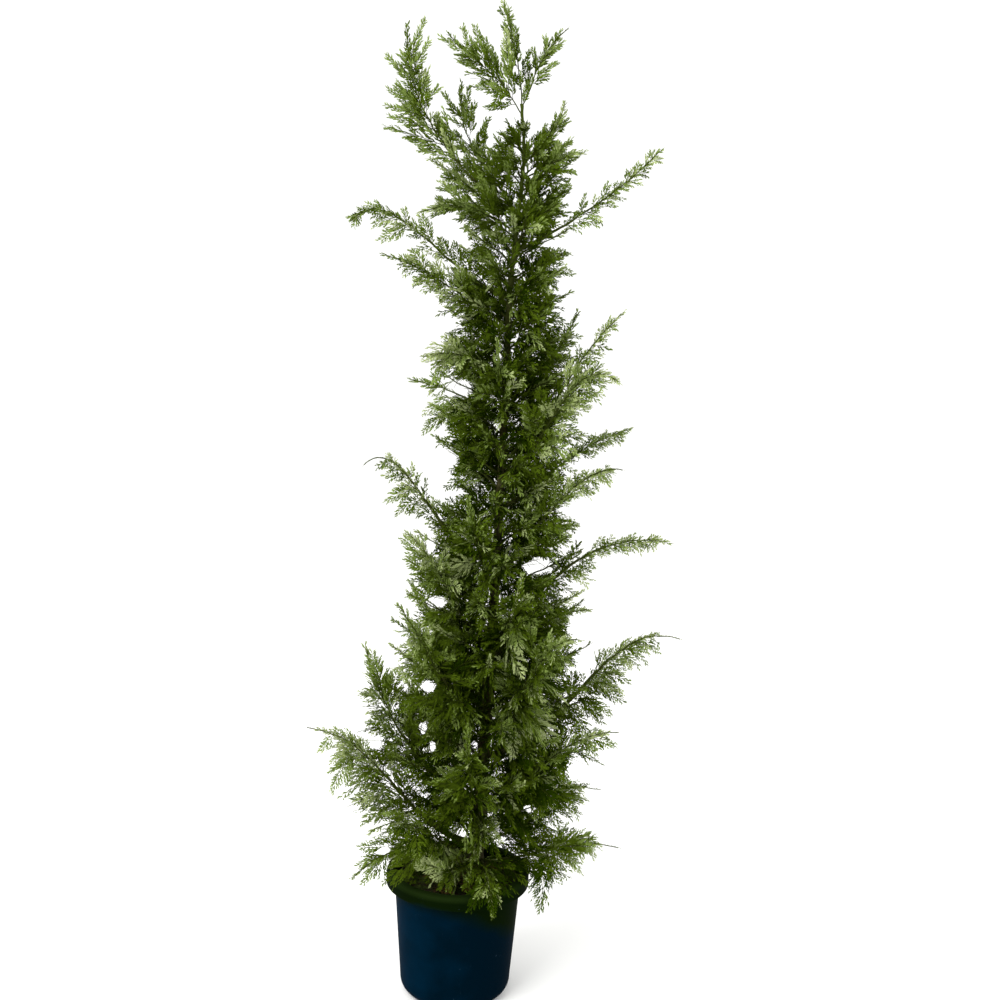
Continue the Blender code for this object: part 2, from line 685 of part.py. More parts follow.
def grow_twig(node, placed, finish, places):
    """One twig at the first of some places where it is clear of other nodes and its blade of its own."""
    for place in places:
        if placed.meets(twig(*place, CLEARANCE), lambda owner: owner not in (node, (node, "blade"))):
            continue
        if placed.meets(blade_only(*place), lambda owner: owner == (node, "blade")):
            continue
        shape = twig(*place)
        placed.add(node, shape)
        placed.add((node, "blade"), blade_only(*place))
        return [solid("twig", shape, finish)]
    return []


def blade_only(root, along, normal, length):
    """The outer part of a twig, which keeps clear of its neighbours on the same stem."""
    return twig(root + along * BLADE_START * length, along, normal, (1 - BLADE_START) * length, CLEARANCE)


def side_twig_places(shoot, path, plan):
    """A twig's own place, and after it some that are turned about the stem and a little shorter."""
    t, roll, angle, length, twist = plan
    for attempt in range(TRIES):
        root, along, normal = twig_frame(shoot, path, t, roll + attempt * GOLDEN_TURN, angle, twist)
        yield root, along, normal, length * (1 - 0.05 * attempt)


def end_twig_places(shoot, path):
    """Places for the twig that a stem runs out into, which ends at the shoot's tip."""
    before, last = path.stem_rings[-2:]
    root = path.in_stem(last + (before - last) * END_SUNK)
    along = path.end - root
    length = along.length
    along.normalize()
    side = along.cross(Vector((0, 0, 1)))
    side = side.normalized() if side.length > 0.2 else path.cap.cross(along).normalized()
    for attempt in range(TRIES):
        turn = Matrix.Rotation(math.radians(END_TURN + attempt * GOLDEN_TURN), 3, along)
        yield root, along, turn @ side, length


def main():
    clear_scene()
    plastic = material("pot_plastic", (0.004, 0.016, 0.045), 0.45)
    peat = material("peat_compost", (0.020, 0.013, 0.008), 0.95)
    bark = material("cypress_bark", (0.090, 0.055, 0.032), 0.85)
    needles = material("cypress_foliage", (0.045, 0.085, 0.018), 0.65)
    placed = Placed()
    pot = make_pot(plastic)
    soil = make_soil(peat)
    trunk = make_trunk(bark)
    bpy.context.view_layer.update()
    for obj in (pot, soil, trunk):
        placed.add(obj.name, evaluated(obj))
    grow_crown(bark, needles, placed)


if __name__ == "__main__":
    main()
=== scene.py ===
"""Potted Leyland cypress: the looks of the plant and its pot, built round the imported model.

The crown grows here by the same rule as in the model. Shoots leave the trunk, twigs leave each shoot,
and each twig is carried on to what it is in life: a flat, slightly drooping spray, with branchlets along
its rachis and scale-leaved twiglets along those. Every mass of the model is replaced by the sprays that
grow in its space, and short inner shoots hide the trunk between them.

Metres, +Z up. The origin is the middle of the pot's flat underside. An azimuth is in degrees about +Z
from +X, so 180 is to the left of the front view and -90 comes towards it.
"""

import functools
import math
import random
import zlib
from collections import namedtuple

import bmesh
import bpy
import numpy as np
from bpy.props import FloatProperty, FloatVectorProperty, IntProperty, PointerProperty
from mathutils import Matrix, Vector, noise


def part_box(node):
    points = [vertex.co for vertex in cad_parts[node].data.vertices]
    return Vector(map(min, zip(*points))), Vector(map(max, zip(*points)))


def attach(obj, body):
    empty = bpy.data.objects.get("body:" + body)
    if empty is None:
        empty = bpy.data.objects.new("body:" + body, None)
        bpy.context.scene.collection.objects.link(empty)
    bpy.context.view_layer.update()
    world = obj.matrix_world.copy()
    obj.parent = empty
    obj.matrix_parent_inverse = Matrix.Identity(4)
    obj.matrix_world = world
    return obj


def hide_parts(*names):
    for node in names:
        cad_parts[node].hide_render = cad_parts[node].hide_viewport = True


bl_info = {
    "name": "Potted Leyland Cypress",
    "version": (1, 0, 0),
    "blender": (4, 5, 0),
    "location": "View3D > Sidebar > Cypress",
    "description": "Grows the sprays, stems, bark, compost and pot of a young potted Leyland cypress",
    "category": "Add Mesh",
}

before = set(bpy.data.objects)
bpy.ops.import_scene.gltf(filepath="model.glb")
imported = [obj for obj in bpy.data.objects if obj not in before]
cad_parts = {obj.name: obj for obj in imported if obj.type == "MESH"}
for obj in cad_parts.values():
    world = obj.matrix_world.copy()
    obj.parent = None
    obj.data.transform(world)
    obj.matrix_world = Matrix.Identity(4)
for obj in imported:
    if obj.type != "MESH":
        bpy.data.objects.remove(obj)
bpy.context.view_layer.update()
POT_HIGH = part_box("pot")[1]
SOIL_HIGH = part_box("soil")[1]
TRUNK_LOW, TRUNK_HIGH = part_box("trunk")
MASSES = sorted(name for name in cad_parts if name.startswith("foliage_"))
LIMBS = sorted(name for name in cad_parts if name.startswith("limb_"))

# Pot, as in the model but with finer rounding
POT_HEIGHT = POT_HIGH.z
RIM_RADIUS = POT_HIGH.x
POT_FOOT_RADIUS = 0.0825
POT_HEEL_RADIUS = 0.028
POT_WALL_FOOT_RADIUS = 0.1105
POT_WALL_TOP_RADIUS = 0.1255
POT_WALL = 0.003
POT_FLOOR = 0.004
RIM_DEPTH = 0.027
RIM_ROUNDING = 0.009
POT_SIDES = 144
POT_CREASE = 35  # an edge sharper than this many degrees stays crisp
DRAIN_HOLES = 6
DRAIN_HOLE_RADIUS = 0.007
DRAIN_HOLE_SIDES = 32
DRAIN_RING_RADIUS = 0.055

# Compost
SOIL_LEVEL = SOIL_HIGH.z
SOIL_GAP = 0.0006  # room between it and the pot
SOIL_RINGS = 64
SOIL_SIDES = 168
SOIL_RELIEF = 0.0035  # height of the lumps
SOIL_LUMPS = ((0.030, 1, 0), (0.012, 0.6, 3), (0.005, 0.4, 7))  # (size, share of it, layer of the noise)
SOIL_HEAP = 0.006  # how much higher it lies against the trunk
SOIL_HEAP_WIDTH = 0.035
CRUMBS = 900
CRUMB_INSET = 0.007  # how far inside the wall they lie
CRUMB_SIZES = (0.0010, 0.0036)
CRUMB_STRETCH = ((0.6, 1.8), (0.6, 1.3), (0.5, 0.9))
CRUMB_ROUGHNESS = (0.75, 1.2)
CRUMB_LIFT = 0.2  # for a size of 1
ROOT_HAIRS = 150
HAIR_INSET = 0.022
HAIR_POINTS = 14
HAIR_LEAST_POINTS = 5
HAIR_STRIDES = (0.0018, 0.0034)
HAIR_BENDS = (8, 34)  # degrees between one stride and the next
HAIR_WANDER = 0.15  # what chance adds to them, in radians
HAIR_ARCHES = (0.002, 0.011)
HAIR_LIFT = 0.0004
HAIR_RADII = (0.00025, 0.00055)  # each thick enough to show
HAIR_SIDES = 4
HAIR_CLEARANCE = 0.002  # room to the wall
FALLEN_SPRAYS = 46
FALLEN_INSET = 0.040
FALLEN_SLOPES = (0.02, 0.30)
FALLEN_TILT = 0.3
FALLEN_LIFT = 0.004
FALLEN_LENGTHS = (0.030, 0.060)
FALLEN_OPENNESS = (0.2, 0.8)
FALLEN_DEAD = 0.6  # share of them that is brown

# Trunk: middle line from the compost to the fork, then its taper, as in the model
TRUNK_LINE = (
    Vector((0.034, 0.000, TRUNK_LOW.z)),
    Vector((0.043, 0.004, 0.450)),
    Vector((0.055, 0.003, 0.800)),
    Vector((0.063, -0.004, 1.180)),
    Vector((0.067, -0.002, 1.420)),
    Vector((0.083, 0.002, 1.640)),
    Vector((0.076, 0.000, TRUNK_HIGH.z)),
)
TRUNK_BASE_RADIUS = 0.0135
TRUNK_FORK_RADIUS = 0.0020  # slimmer than the model's
TRUNK_TAPER = 0.9
FLARE = 0.0085  # more radius at its foot
FLARE_HEIGHT = 0.022
ROOT_LOBES = 5
ROOT_LOBE = 0.35  # how far they stand out, for a flare of 1
BARK_SIDES = 26
BARK_RING_STEP = 0.0042
BARK_CRACK = 0.0050  # distance between the lengthwise cracks
BARK_CRACK_LENGTH = 5  # their length for a distance of 1
BARK_RELIEF = 0.055  # height of the ridges between them, for a radius of 1
COLLAR = 0.0016  # swelling round the foot of a shoot
COLLAR_HEIGHT = 0.007
COLLAR_REACH = 0.020  # nothing is left of it this far up and down

# Shoots, as in the model
LIMB_RADIUS = 0.0026
LIMB_RADIUS_PER_METRE = 0.0075
LIMB_LARGEST = 0.8  # for a trunk's radius of 1
LIMB_TAPER = 0.8
TIP_RADIUS = 0.0009
HANDLE = 0.38  # a path's handles, as a share of the straight line between its ends
LENGTH_POINTS = 17  # places between which a path is measured
LEADER_RISE = 80  # a shoot as steep as this carries on from the trunk's end
TWIG_STEP = 0.30  # distance between twigs along a stem, for a spread of 1
TWIG_LEAST_STEP = 0.018
TWIG_START = 0.06  # share of the path that is left bare before them
FEWEST_TWIGS = 4
TWIG_ANGLE = 43
TWIG_ROLLS = (-20, 20)  # what chance does to their roll, angle, length and twist
TWIG_ANGLES = (-7, 9)
TWIG_LENGTHS = (0.85, 1.12)
TWIG_TWISTS = (-35, 35)
YOUNG_FROM = 1.35  # shoots that start above this are young, and their twigs lie closer to the stem
YOUNG_SPAN = 0.25  # height in which they get fully so
YOUNG_CLOSER = 12
HANG = 1.1  # how much a twig's tip hangs at the foot of the crown, for a shoot with a reach of 1
HANG_LEAST = 0.1  # share of it that is left at the top
HANG_TOP = 1.5  # it grows downwards from this height
HANG_SPAN = 1.0
UPPER_SHORTER = 0.2  # how much shorter twigs are above a hanging shoot than to its sides
GOLDEN_TURN = 137.5
END_TWIG = 0.52  # the twig that a stem runs out into, for a spread of 1

# Shoots, where they are finer than in the model
FINE_ROLLS = (-25, 25)  # what chance does to the finer twigs between the model's
FINE_ANGLES = (-10, 6)
FINE_LENGTHS = (0.45, 0.92)
FINE_TWISTS = (-40, 40)
SHORTEST_TWIG = 0.016
NEARLY_UPRIGHT = 0.2  # a stem that leans less than this has its twigs counted from the way that it faces
LIMB_SIDES = 12
LIMB_FLARE = 0.35  # swelling at a limb's foot, for a radius of 1
LIMB_FLARE_LENGTH = 0.006
FEWEST_RINGS = 8
STEM_SIDES = 6
STEM_RING_STEP = 0.009
STEM_FOOT = 0.7  # radius of a stem without a limb, for a limb's of 1
STEM_TAPER = 1.6
STEM_END = 0.985  # share of its shoot where it ends
STEM_WAVER = 0.0012  # how far a stem strays from its smooth line

Shoot = namedtuple("Shoot", "name height azimuth reach tip rise nod spread limb plume fan", defaults=(1,))

# height: where it leaves the trunk. reach: from the trunk out to the tip. tip: the tip's height.
# rise and nod: slope at the foot and at the tip. spread: its longest twig.
# limb: share of its length that is a bare limb; 0 is a shoot with foliage from the trunk on.
# plume: half width of the foliage that clothes its stem.
# fan: how far its twigs stand out above and below it, for 1 to its sides.
OUTLINE_SHOOTS = (
    Shoot("top_leader", 1.742, 180, 0.040, 1.920, 86, 72, 0.046, 0, 0.004),
    Shoot("top_left", 1.722, 176, 0.140, 1.862, 64, 44, 0.118, 0, 0.004, 1.6),
    Shoot("top_right", 1.738, -12, 0.083, 1.877, 70, 40, 0.052, 0, 0.004),
    Shoot("crown_left", 1.542, 190, 0.215, 1.868, 33, 90, 0.118, 0.22, 0.006, 1.8),
    Shoot("crown_inner_left", 1.600, 145, 0.146, 1.788, 4, 98, 0.120, 0, 0.007, 1.5),
    Shoot("crown_right", 1.640, 35, 0.090, 1.750, 22, 72, 0.078, 0, 0.008, 1.3),
    Shoot("shoulder_right", 1.610, -36, 0.134, 1.652, 17, 4, 0.088, 0, 0.008),
    Shoot("shoulder_back", 1.530, 56, 0.170, 1.570, 14, 8, 0.125, 0, 0.010),
    Shoot("shoulder_left_high", 1.530, 170, 0.170, 1.640, 28, 28, 0.115, 0, 0.009),
    Shoot("shoulder_left", 1.510, 216, 0.215, 1.535, 30, -21, 0.115, 0, 0.010),
    Shoot("upper_right_long", 1.474, -12, 0.265, 1.663, 29, 46, 0.040, 0.20, 0.004, 1.5),
    Shoot("upper_right_back", 1.425, 50, 0.175, 1.475, 18, -5, 0.125, 0, 0.010),
    Shoot("upper_left_long", 1.390, 183, 0.303, 1.515, 15, -54, 0.040, 0.24, 0.005, 0.6),
    Shoot("upper_left", 1.340, 206, 0.255, 1.461, 27, 13, 0.092, 0, 0.007, 1.4),
    Shoot("middle_left_front", 1.244, 228, 0.222, 1.284, 25, -10, 0.122, 0, 0.011),
    Shoot("middle_left_back", 1.160, 152, 0.210, 1.222, 26, 4, 0.108, 0, 0.011),
    Shoot("waist_left", 1.115, 140, 0.192, 1.172, 26, 7, 0.080, 0, 0.011),
    Shoot("waist_left_long", 0.890, 190, 0.263, 1.066, 4, -48, 0.050, 0.24, 0.005, 0.7),
    Shoot("lower_left_upright", 0.707, 222, 0.218, 0.962, 42, 37, 0.130, 0, 0.011),
    Shoot("lower_left_back", 0.640, 140, 0.219, 0.806, 42, 53, 0.155, 0, 0.012),
    Shoot("lower_left_side", 0.564, 234, 0.277, 0.844, 30, 46, 0.155, 0, 0.012),
    Shoot("foot_left_tall", 0.399, 188, 0.235, 0.716, 29, 74, 0.178, 0.20, 0.012, 1.5),
    Shoot("foot_left_back", 0.440, 130, 0.281, 0.602, 33, 48, 0.165, 0, 0.012),
    Shoot("foot_left_far", 0.310, 196, 0.351, 0.570, 18, 9, 0.168, 0.20, 0.008),
    Shoot("foot_left_low", 0.290, 226, 0.284, 0.408, 22, -14, 0.145, 0, 0.011),
    Shoot("rim_left", 0.268, 174, 0.250, 0.214, 30, -50, 0.165, 0, 0.006),
    Shoot("middle_right_back", 1.197, 42, 0.183, 1.363, 32, 64, 0.105, 0, 0.011),
    Shoot("middle_right_long", 1.082, -8, 0.218, 1.370, 45, 45, 0.068, 0, 0.007),
    Shoot("middle_right_front", 1.040, -42, 0.272, 1.252, 34, -27, 0.140, 0, 0.011),
    Shoot("waist_right", 0.990, 16, 0.259, 1.141, 31, 14, 0.048, 0, 0.007),
    Shoot("waist_right_front", 0.900, -40, 0.291, 1.096, 27, 2, 0.084, 0, 0.011),
    Shoot("waist_right_back", 0.852, 52, 0.275, 0.920, 27, -13, 0.102, 0, 0.012),
    Shoot("lower_right_long", 0.718, -8, 0.335, 0.940, 57, -8, 0.060, 0.22, 0.006, 0.7),
    Shoot("lower_right_back", 0.660, 50, 0.327, 0.732, 33, -10, 0.120, 0, 0.012),
    Shoot("lower_right_front", 0.560, -55, 0.287, 0.794, 26, 9, 0.155, 0, 0.012),
    Shoot("foot_right_long", 0.490, 6, 0.391, 0.727, 12, -22, 0.104, 0.20, 0.008, 0.7),
    Shoot("foot_right", 0.388, -30, 0.300, 0.597, 31, 9, 0.150, 0, 0.012),
    Shoot("foot_right_back", 0.318, 42, 0.355, 0.336, 24, -23, 0.172, 0, 0.011),
    Shoot("rim_right", 0.272, -12, 0.289, 0.332, 8, -10, 0.120, 0, 0.007, 1.5),
    Shoot("rim_front", 0.280, -78, 0.165, 0.232, 34, -62, 0.105, 0, 0.006),
    Shoot("rim_front_left", 0.258, -116, 0.150, 0.272, 36, -40, 0.120, 0, 0.007),
)

# Shoots towards the front and the back, which fill the crown between those of its outline
FILL_SHOOTS = 8
FILL_FOOT = 0.345
FILL_TOP = 1.470
FILL_REACH_AT_FOOT = 0.190
FILL_REACH_AT_TOP = 0.090
FILL_SIDES = (-98, 88, -70, -112, 106)  # azimuths, taken in turn from the foot up
FILL_RISE = 44
FILL_NOD = 66
FILL_CLIMB = 1.4  # how far the tip is above the foot, for a reach of 1
FILL_SPREAD = 0.150
FILL_NARROWING = 0.2  # share of it that the highest has lost
FILL_PLUME = 0.010
FILL_FAN = 0.4

# Short shoots all round the trunk, inside the crown, finer than the model's
INNER_FOOT = 0.300
INNER_TOP = 1.690
INNER_REACH = 0.75  # for the crown's radius of 1
INNER_RISE = 40
INNER_NOD = 35
INNER_CLIMB = 0.55
INNER_SPREAD = 0.100
INNER_LEAST_SPREAD = 0.16  # share of it that a shoot of no reach would have
INNER_WIDENING = 7.6  # and how much more for each metre of reach

# Large sprays that the photo shows one by one, each on its shoot: (shoot, share of its length, from there to
# the spray's tip, openness)
LARGE_SPRAYS = (
    ("top_left", 0.15, (-0.038, -0.010, 0.022), 1.1),
    ("top_left", 0.63, (-0.067, -0.010, 0.041), 1.2),
    ("top_left", 0.60, (-0.039, -0.010, 0.056), 1.2),
    ("top_left", 0.55, (-0.020, -0.010, 0.067), 1.2),
    ("top_left", 0.37, (-0.054, -0.010, 0.004), 1.1),
    ("top_right", 0.00, (0.003, -0.010, 0.027), 1.0),
    ("crown_left", 0.85, (0.019, -0.010, 0.068), 1.2),
    ("crown_left", 0.80, (0.030, -0.010, 0.053), 1.2),
    ("crown_left", 0.76, (-0.045, -0.010, 0.038), 1.2),
    ("crown_left", 0.66, (-0.055, -0.010, 0.021), 1.2),
    ("crown_left", 0.59, (-0.070, -0.010, 0.019), 1.2),
    ("crown_left", 0.53, (-0.077, -0.010, 0.019), 1.1),
    ("crown_left", 0.65, (0.027, -0.010, 0.030), 1.1),
    ("top_left", 0.10, (-0.049, -0.010, -0.006), 0.9),
    ("top_left", 0.28, (-0.020, -0.020, -0.032), 0.9),
    ("crown_inner_left", 0.58, (0.008, -0.010, 0.052), 1.0),
    ("crown_inner_left", 0.48, (0.020, -0.020, 0.054), 0.9),
    ("crown_inner_left", 0.73, (-0.038, -0.010, 0.040), 1.1),
    ("crown_inner_left", 0.75, (0.012, -0.020, 0.052), 1.0),
    ("crown_inner_left", 0.68, (0.017, -0.020, 0.038), 1.0),
    ("upper_left_long", 0.43, (-0.023, 0.000, 0.053), 1.2),
    ("upper_left_long", 0.32, (-0.018, -0.010, 0.041), 0.9),
    ("upper_left_long", 0.26, (-0.012, -0.010, 0.046), 0.9),
    ("upper_left_long", 0.21, (-0.011, -0.010, 0.047), 0.8),
    ("upper_left_long", 0.56, (-0.052, -0.010, -0.022), 1.2),
    ("upper_left_long", 0.65, (-0.039, 0.000, -0.011), 1.2),
    ("upper_left", 0.68, (-0.023, -0.010, 0.042), 1.2),
    ("waist_left", 0.71, (-0.053, -0.010, -0.028), 1.1),
    ("middle_left_front", 0.68, (-0.029, -0.010, -0.045), 1.1),
    ("waist_left_long", 0.54, (-0.054, -0.010, -0.014), 1.1),
    ("waist_left_long", 0.48, (-0.047, -0.010, -0.020), 1.0),
    ("lower_left_upright", 0.70, (-0.058, -0.010, 0.063), 1.2),
    ("lower_left_upright", 0.57, (-0.070, -0.010, 0.051), 1.1),
    ("lower_left_upright", 0.42, (-0.082, -0.010, 0.024), 1.0),
    ("rim_left", 0.51, (-0.088, -0.010, 0.018), 1.1),
    ("rim_left", 0.64, (-0.050, 0.000, -0.058), 1.1),
    ("rim_left", 0.59, (-0.073, 0.000, -0.023), 1.1),
    ("foot_right_long", 0.43, (0.053, -0.010, -0.044), 0.8),
    ("foot_right_long", 0.37, (0.047, -0.010, -0.050), 0.8),
    ("foot_right_long", 0.38, (0.011, -0.010, 0.067), 0.9),
    ("foot_right_long", 0.50, (0.065, -0.010, -0.032), 0.9),
    ("foot_right", 0.82, (0.042, -0.010, -0.008), 1.0),
    ("rim_right", 0.45, (0.090, -0.020, 0.056), 1.1),
    ("rim_right", 0.57, (0.058, -0.030, 0.023), 1.1),
    ("rim_right", 0.48, (-0.022, -0.070, -0.080), 0.5),
    ("rim_front", 0.61, (-0.034, -0.050, -0.026), 0.3),
    ("rim_front", 0.65, (0.017, -0.050, -0.026), 0.3),
    ("rim_front_left", 0.39, (-0.095, -0.010, 0.045), 1.6),
    ("rim_front_left", 0.56, (-0.037, -0.030, -0.003), 1.7),
    ("rim_front_left", 0.70, (-0.066, -0.020, 0.032), 1.6),
    ("foot_left_tall", 0.73, (-0.008, -0.010, 0.085), 1.1),
    ("foot_left_tall", 0.67, (0.014, -0.010, 0.088), 1.1),
    ("foot_left_tall", 0.83, (-0.009, -0.010, 0.061), 1.2),
    ("foot_left_far", 0.75, (-0.038, -0.010, -0.078), 1.2),
    ("foot_left_far", 0.86, (-0.025, 0.000, -0.027), 1.3),
    ("foot_left_far", 0.73, (-0.018, -0.010, 0.039), 1.3),
    ("foot_left_far", 0.66, (-0.017, -0.010, 0.042), 1.2),
    ("foot_left_far", 0.80, (-0.017, -0.010, 0.028), 1.3),
    ("fill_front_0", 0.11, (0.005, -0.040, -0.051), 1.6),
    ("fill_front_0", 0.22, (0.050, -0.040, -0.037), 1.5),
    ("lower_right_front", 0.27, (0.004, -0.030, -0.087), 1.5),
    ("lower_right_front", 0.28, (0.078, -0.030, -0.063), 1.5),
    ("lower_left_side", 0.10, (-0.043, -0.030, -0.071), 1.5),
    ("fill_front_2", 0.61, (0.022, -0.030, -0.046), 1.4),
)
FACING = (0.0, -1.0, 0.3)  # the way their flat side faces

# Gaps where the sky shows through the crown from the front, in the plane y = 0: (x, z, half width, half
# height)
SKY_GAPS = (
    (-0.026, 1.217, 0.034, 0.020),
    (0.136, 0.876, 0.034, 0.019),
    (0.211, 0.988, 0.042, 0.018),
    (-0.052, 1.516, 0.024, 0.023),
    (0.216, 1.310, 0.013, 0.015),
    (0.216, 0.761, 0.019, 0.036),
    (0.226, 1.080, 0.036, 0.015),
    (-0.062, 1.058, 0.029, 0.052),
    (-0.056, 0.798, 0.021, 0.014),
    (0.230, 0.468, 0.022, 0.029),
    (-0.069, 0.630, 0.018, 0.016),
    (0.136, 0.385, 0.012, 0.008),
    (-0.056, 0.507, 0.006, 0.014),
    (-0.077, 0.542, 0.010, 0.018),
    (-0.070, 0.910, 0.012, 0.018),
    (0.238, 0.693, 0.016, 0.028),
    (0.210, 0.204, 0.044, 0.030),
    (0.139, 1.493, 0.019, 0.009),
    (0.037, 1.705, 0.011, 0.014),
    (-0.019, 1.681, 0.013, 0.013),
    (0.110, 1.736, 0.020, 0.025),
    (-0.020, 1.783, 0.026, 0.011),
    (0.185, 1.690, 0.015, 0.025),
    (-0.084, 1.376, 0.019, 0.026),
    (-0.230, 0.364, 0.032, 0.025),
    (0.296, 0.891, 0.058, 0.018),
    (-0.042, 1.086, 0.025, 0.022),
    (-0.217, 0.572, 0.034, 0.056),
    (0.103, 1.709, 0.017, 0.022),
    (-0.083, 1.731, 0.012, 0.014),
    (-0.169, 0.512, 0.017, 0.015),
    (-0.145, 0.287, 0.009, 0.022),
    (-0.146, 0.342, 0.009, 0.009),
    (0.276, 0.737, 0.030, 0.018),
    (0.329, 0.759, 0.026, 0.016),
)
EYE = (0.06, -2.66, 1.44)  # where the camera stands that sees them
GAP_EDGE = (0.45, 1.1)  # each spray stops somewhere between these shares of a gap's size
GAP_STEPS = 10  # places along a twig that are tested

# How far the dense part of the crown reaches from the trunk, as (height, radius)
CROWN_RADII = (
    (0.24, 0.19),
    (0.40, 0.26),
    (0.58, 0.27),
    (0.95, 0.19),
    (1.37, 0.15),
    (1.60, 0.12),
    (1.67, 0.06),
    (1.72, 0.03),
)

# How far from the trunk the sprays are fully out in the light, as (height, radius)
LIT_RADII = (
    (0.26, 0.18),
    (0.45, 0.29),
    (0.60, 0.21),
    (0.95, 0.145),
    (1.37, 0.115),
    (1.60, 0.09),
    (1.70, 0.05),
    (1.80, 0.025),
)

# Openness: 0 for a spray at the trunk, 1 for one that is fully out in the light. Its green follows from it:
# partly the real greens of old sprays inside and new ones outside, and partly painted light, darker by
# painted shade towards the trunk and lighter outside.
MOST_OPEN = 1.25  # the most that a place outside those radii gives
OPEN_SPREAD = 0.20  # what chance does to it
LIGHT_TAKEN_AT = 0.7  # where along a spray it is worked out
FRESH = 0.60  # what a fresher spray among the others has more
FRESH_SHARE = 0.14  # how many are
# more openness, and so paler sprays, on these front and left shoots: painted sheen on their fans
SHEEN_SHOOTS = {"rim_front_left": 0.7, "foot_left_far": 0.3, "foot_left_tall": 0.2, "fill_front_0": 0.3}
TONES = ("deep", "mid", "light", "pale", "dead")
TONE_LEVELS = (0.50, 1.05, 1.40, 50)  # the openness where each gives way to the next
DEAD_VALUE = 100  # beyond every green
SPRAY_FADE = 0.35  # how much lighter a spray is at its tip than at its foot
SPRAY_MOTTLE = 0.05
TIPS_LIGHTER = 0.30  # how much lighter a branchlet is at its tip than at its foot
TIPS_FROM = 0.6  # where it has the spray's own tone

# How the sprays of the youngest shoots differ
YOUNG_ENOUGH = 0.5  # the youth from which a shoot has them
YOUNG_SPARSER = 1.0  # how much further apart the finer ones are, for a usual distance of 1
YOUNG_TONE = 1.05  # an openness that they share
YOUNG_EVEN = 0.65  # how near they come to it

# Sprays: a rachis, branchlets to both sides of it, and twiglets along those
# width: its longest branchlet for a length of 1. angle and leaf_angle: how far branchlets and twiglets
# stand off. tilt: how far they leave the plane. step: between branchlets, for the usual of 1.
Habit = namedtuple("Habit", "width angle tilt droop leaf_angle leaf_length step")
OUTER_HABIT = Habit(0.34, 33, 0.35, 0.14, 18, 0.0085, 1.0)
FINE_HABIT = Habit(0.35, 34, 0.40, 0.16, 20, 0.0080, 1.05)
YOUNG_HABIT = Habit(0.24, 28, 0.60, 0.02, 16, 0.0095, 0.62)
PLUME_HABIT = Habit(0.20, 27, 0.50, 0.02, 17, 0.0085, 1.0)
LARGE_HABIT = Habit(0.40, 36, 0.30, 0.10, 20, 0.0080, 0.75)
LARGE_YOUNG_HABIT = Habit(0.24, 29, 0.45, 0.00, 17, 0.0090, 0.62)
FALLEN_HABIT = Habit(0.40, 42, 0.10, 0.00, 24, 0.0070, 1.0)

# Plumes
PLUME_LENGTH = 0.160  # the end of a shoot that is a plume round its own stem
PLUME_START = 0.35  # share of the shoot that is left before it at least
PLUME_STEP = 0.0036
FEWEST_IN_PLUME = 6
PLUME_LEAST = 0.015  # its half width on a shoot with no plume in the model
PLUME_TIP_REACH = 0.005
LONG_PLUME = 0.6  # its width on a shoot that is called long, for 1 on the others

# The length of the slender whip that some shoots end in, with scale leaves but no branchlets
WHIPS = {
    "upper_left_long": 0.018,
    "waist_left_long": 0.078,
    "foot_left_far": 0.026,
    "foot_right_long": 0.072,
    "foot_right": 0.030,
    "foot_right_back": 0.058,
    "waist_right_front": 0.030,
    "rim_right": 0.042,
    "top_right": 0.030,
}
WHIP_SCALES = (0.003, 0.006)  # length of the scale leaves there
STEM_SCALES = (0.006, 0.013)  # and on the outer half of every stem
STEM_SCALE_STEP = 0.0026
STEM_SCALE_SPAN = (0.5, 0.99)
STEM_SCALE_LEAN = (0.75, 0.3)  # how far they lean out, and what that loses to the tip
STEM_MOTTLE = 0.1
PLUME_UP = (0.06, 0.04, 1.0)  # what the turns round a stem start from: nearly up, where no stem points
SCALES_UP = (0.05, 0.03, 1.0)

# Outlines, for side shoots of which the longest is 1: (length at the foot, its rise to the widest place for
# each share of 1, its drop from there to the tip, how that drop bends)
WIDEST = 0.25
TWIG_OUTLINE = (0.62, 1.5, 0.78, 0.9)
SPRAY_OUTLINE = (0.55, 1.8, 0.88, 1.15)

# Parts of a spray
SPRAY_LENGTH = 0.25  # a spray this long has its branchlets 1 further apart, for 1 in its habit
SMALL_SPRAY_CLOSER = 0.6  # and the shortest has them this far apart
SHORTEST_SPRAY = 0.008
FEWEST_BRANCHLETS = 5
SPRAY_BARE = 0.10  # share of the rachis before its first branchlet
SPRAY_SWAY = 0.05  # how far chance bends it to a side
RACHIS_RADIUS = 0.00042
RACHIS_THICKENING = 0.0042  # more radius for each metre of length
RACHIS_TAPER = (1, 0.75, 0.4)
RACHIS_SIDES = 3
BRANCHLET_PLACE = 0.6  # the first one's, for a distance of 1 between them
BRANCHLET_ANGLES = (1.2, 0.45)  # at the spray's foot, for 1 in its habit, and what that loses to the tip
BRANCHLET_SWING = 0.10
BRANCHLET_LENGTHS = (0.78, 1.15)  # what chance does to its length
BRANCHLET_LEAST = 0.008
BRANCHLET_BEND = 0.22  # how far it curves towards the spray's tip, for a length of 1
BRANCHLET_DROOP = 0.6  # for a droop of 1 in the habit
BRANCHLET_HALF_WIDTH = 0.0009
FEWEST_TWIGLETS = 2
TWIGLET_PLACE = 0.8
TWIGLET_ANGLES = (1.15, 0.4)
TWIGLET_SWING = 0.13
TWIGLET_END_ANGLE = 0.06  # of the one that ends its branchlet
TWIGLET_TILT = 0.30
TWIGLET_TWIST = 0.5
TWIGLET_LENGTHENING = 0.14  # more length for each metre of its branchlet
TWIGLET_LEAST = 0.45  # length where the outline has none, for a longest of 1
TWIGLET_LENGTHS = (0.75, 1.25)
TWIGLET_HALF_WIDTH = 0.00110
TWIGLET_WIDENING = 0.040  # more half width for each metre of length
BLADE_SHOULDER = 0.38  # where a blade is widest, as a share of its length
BLADE_FOLD = 0.45  # how far its edges lie below its midrib, for a half width of 1
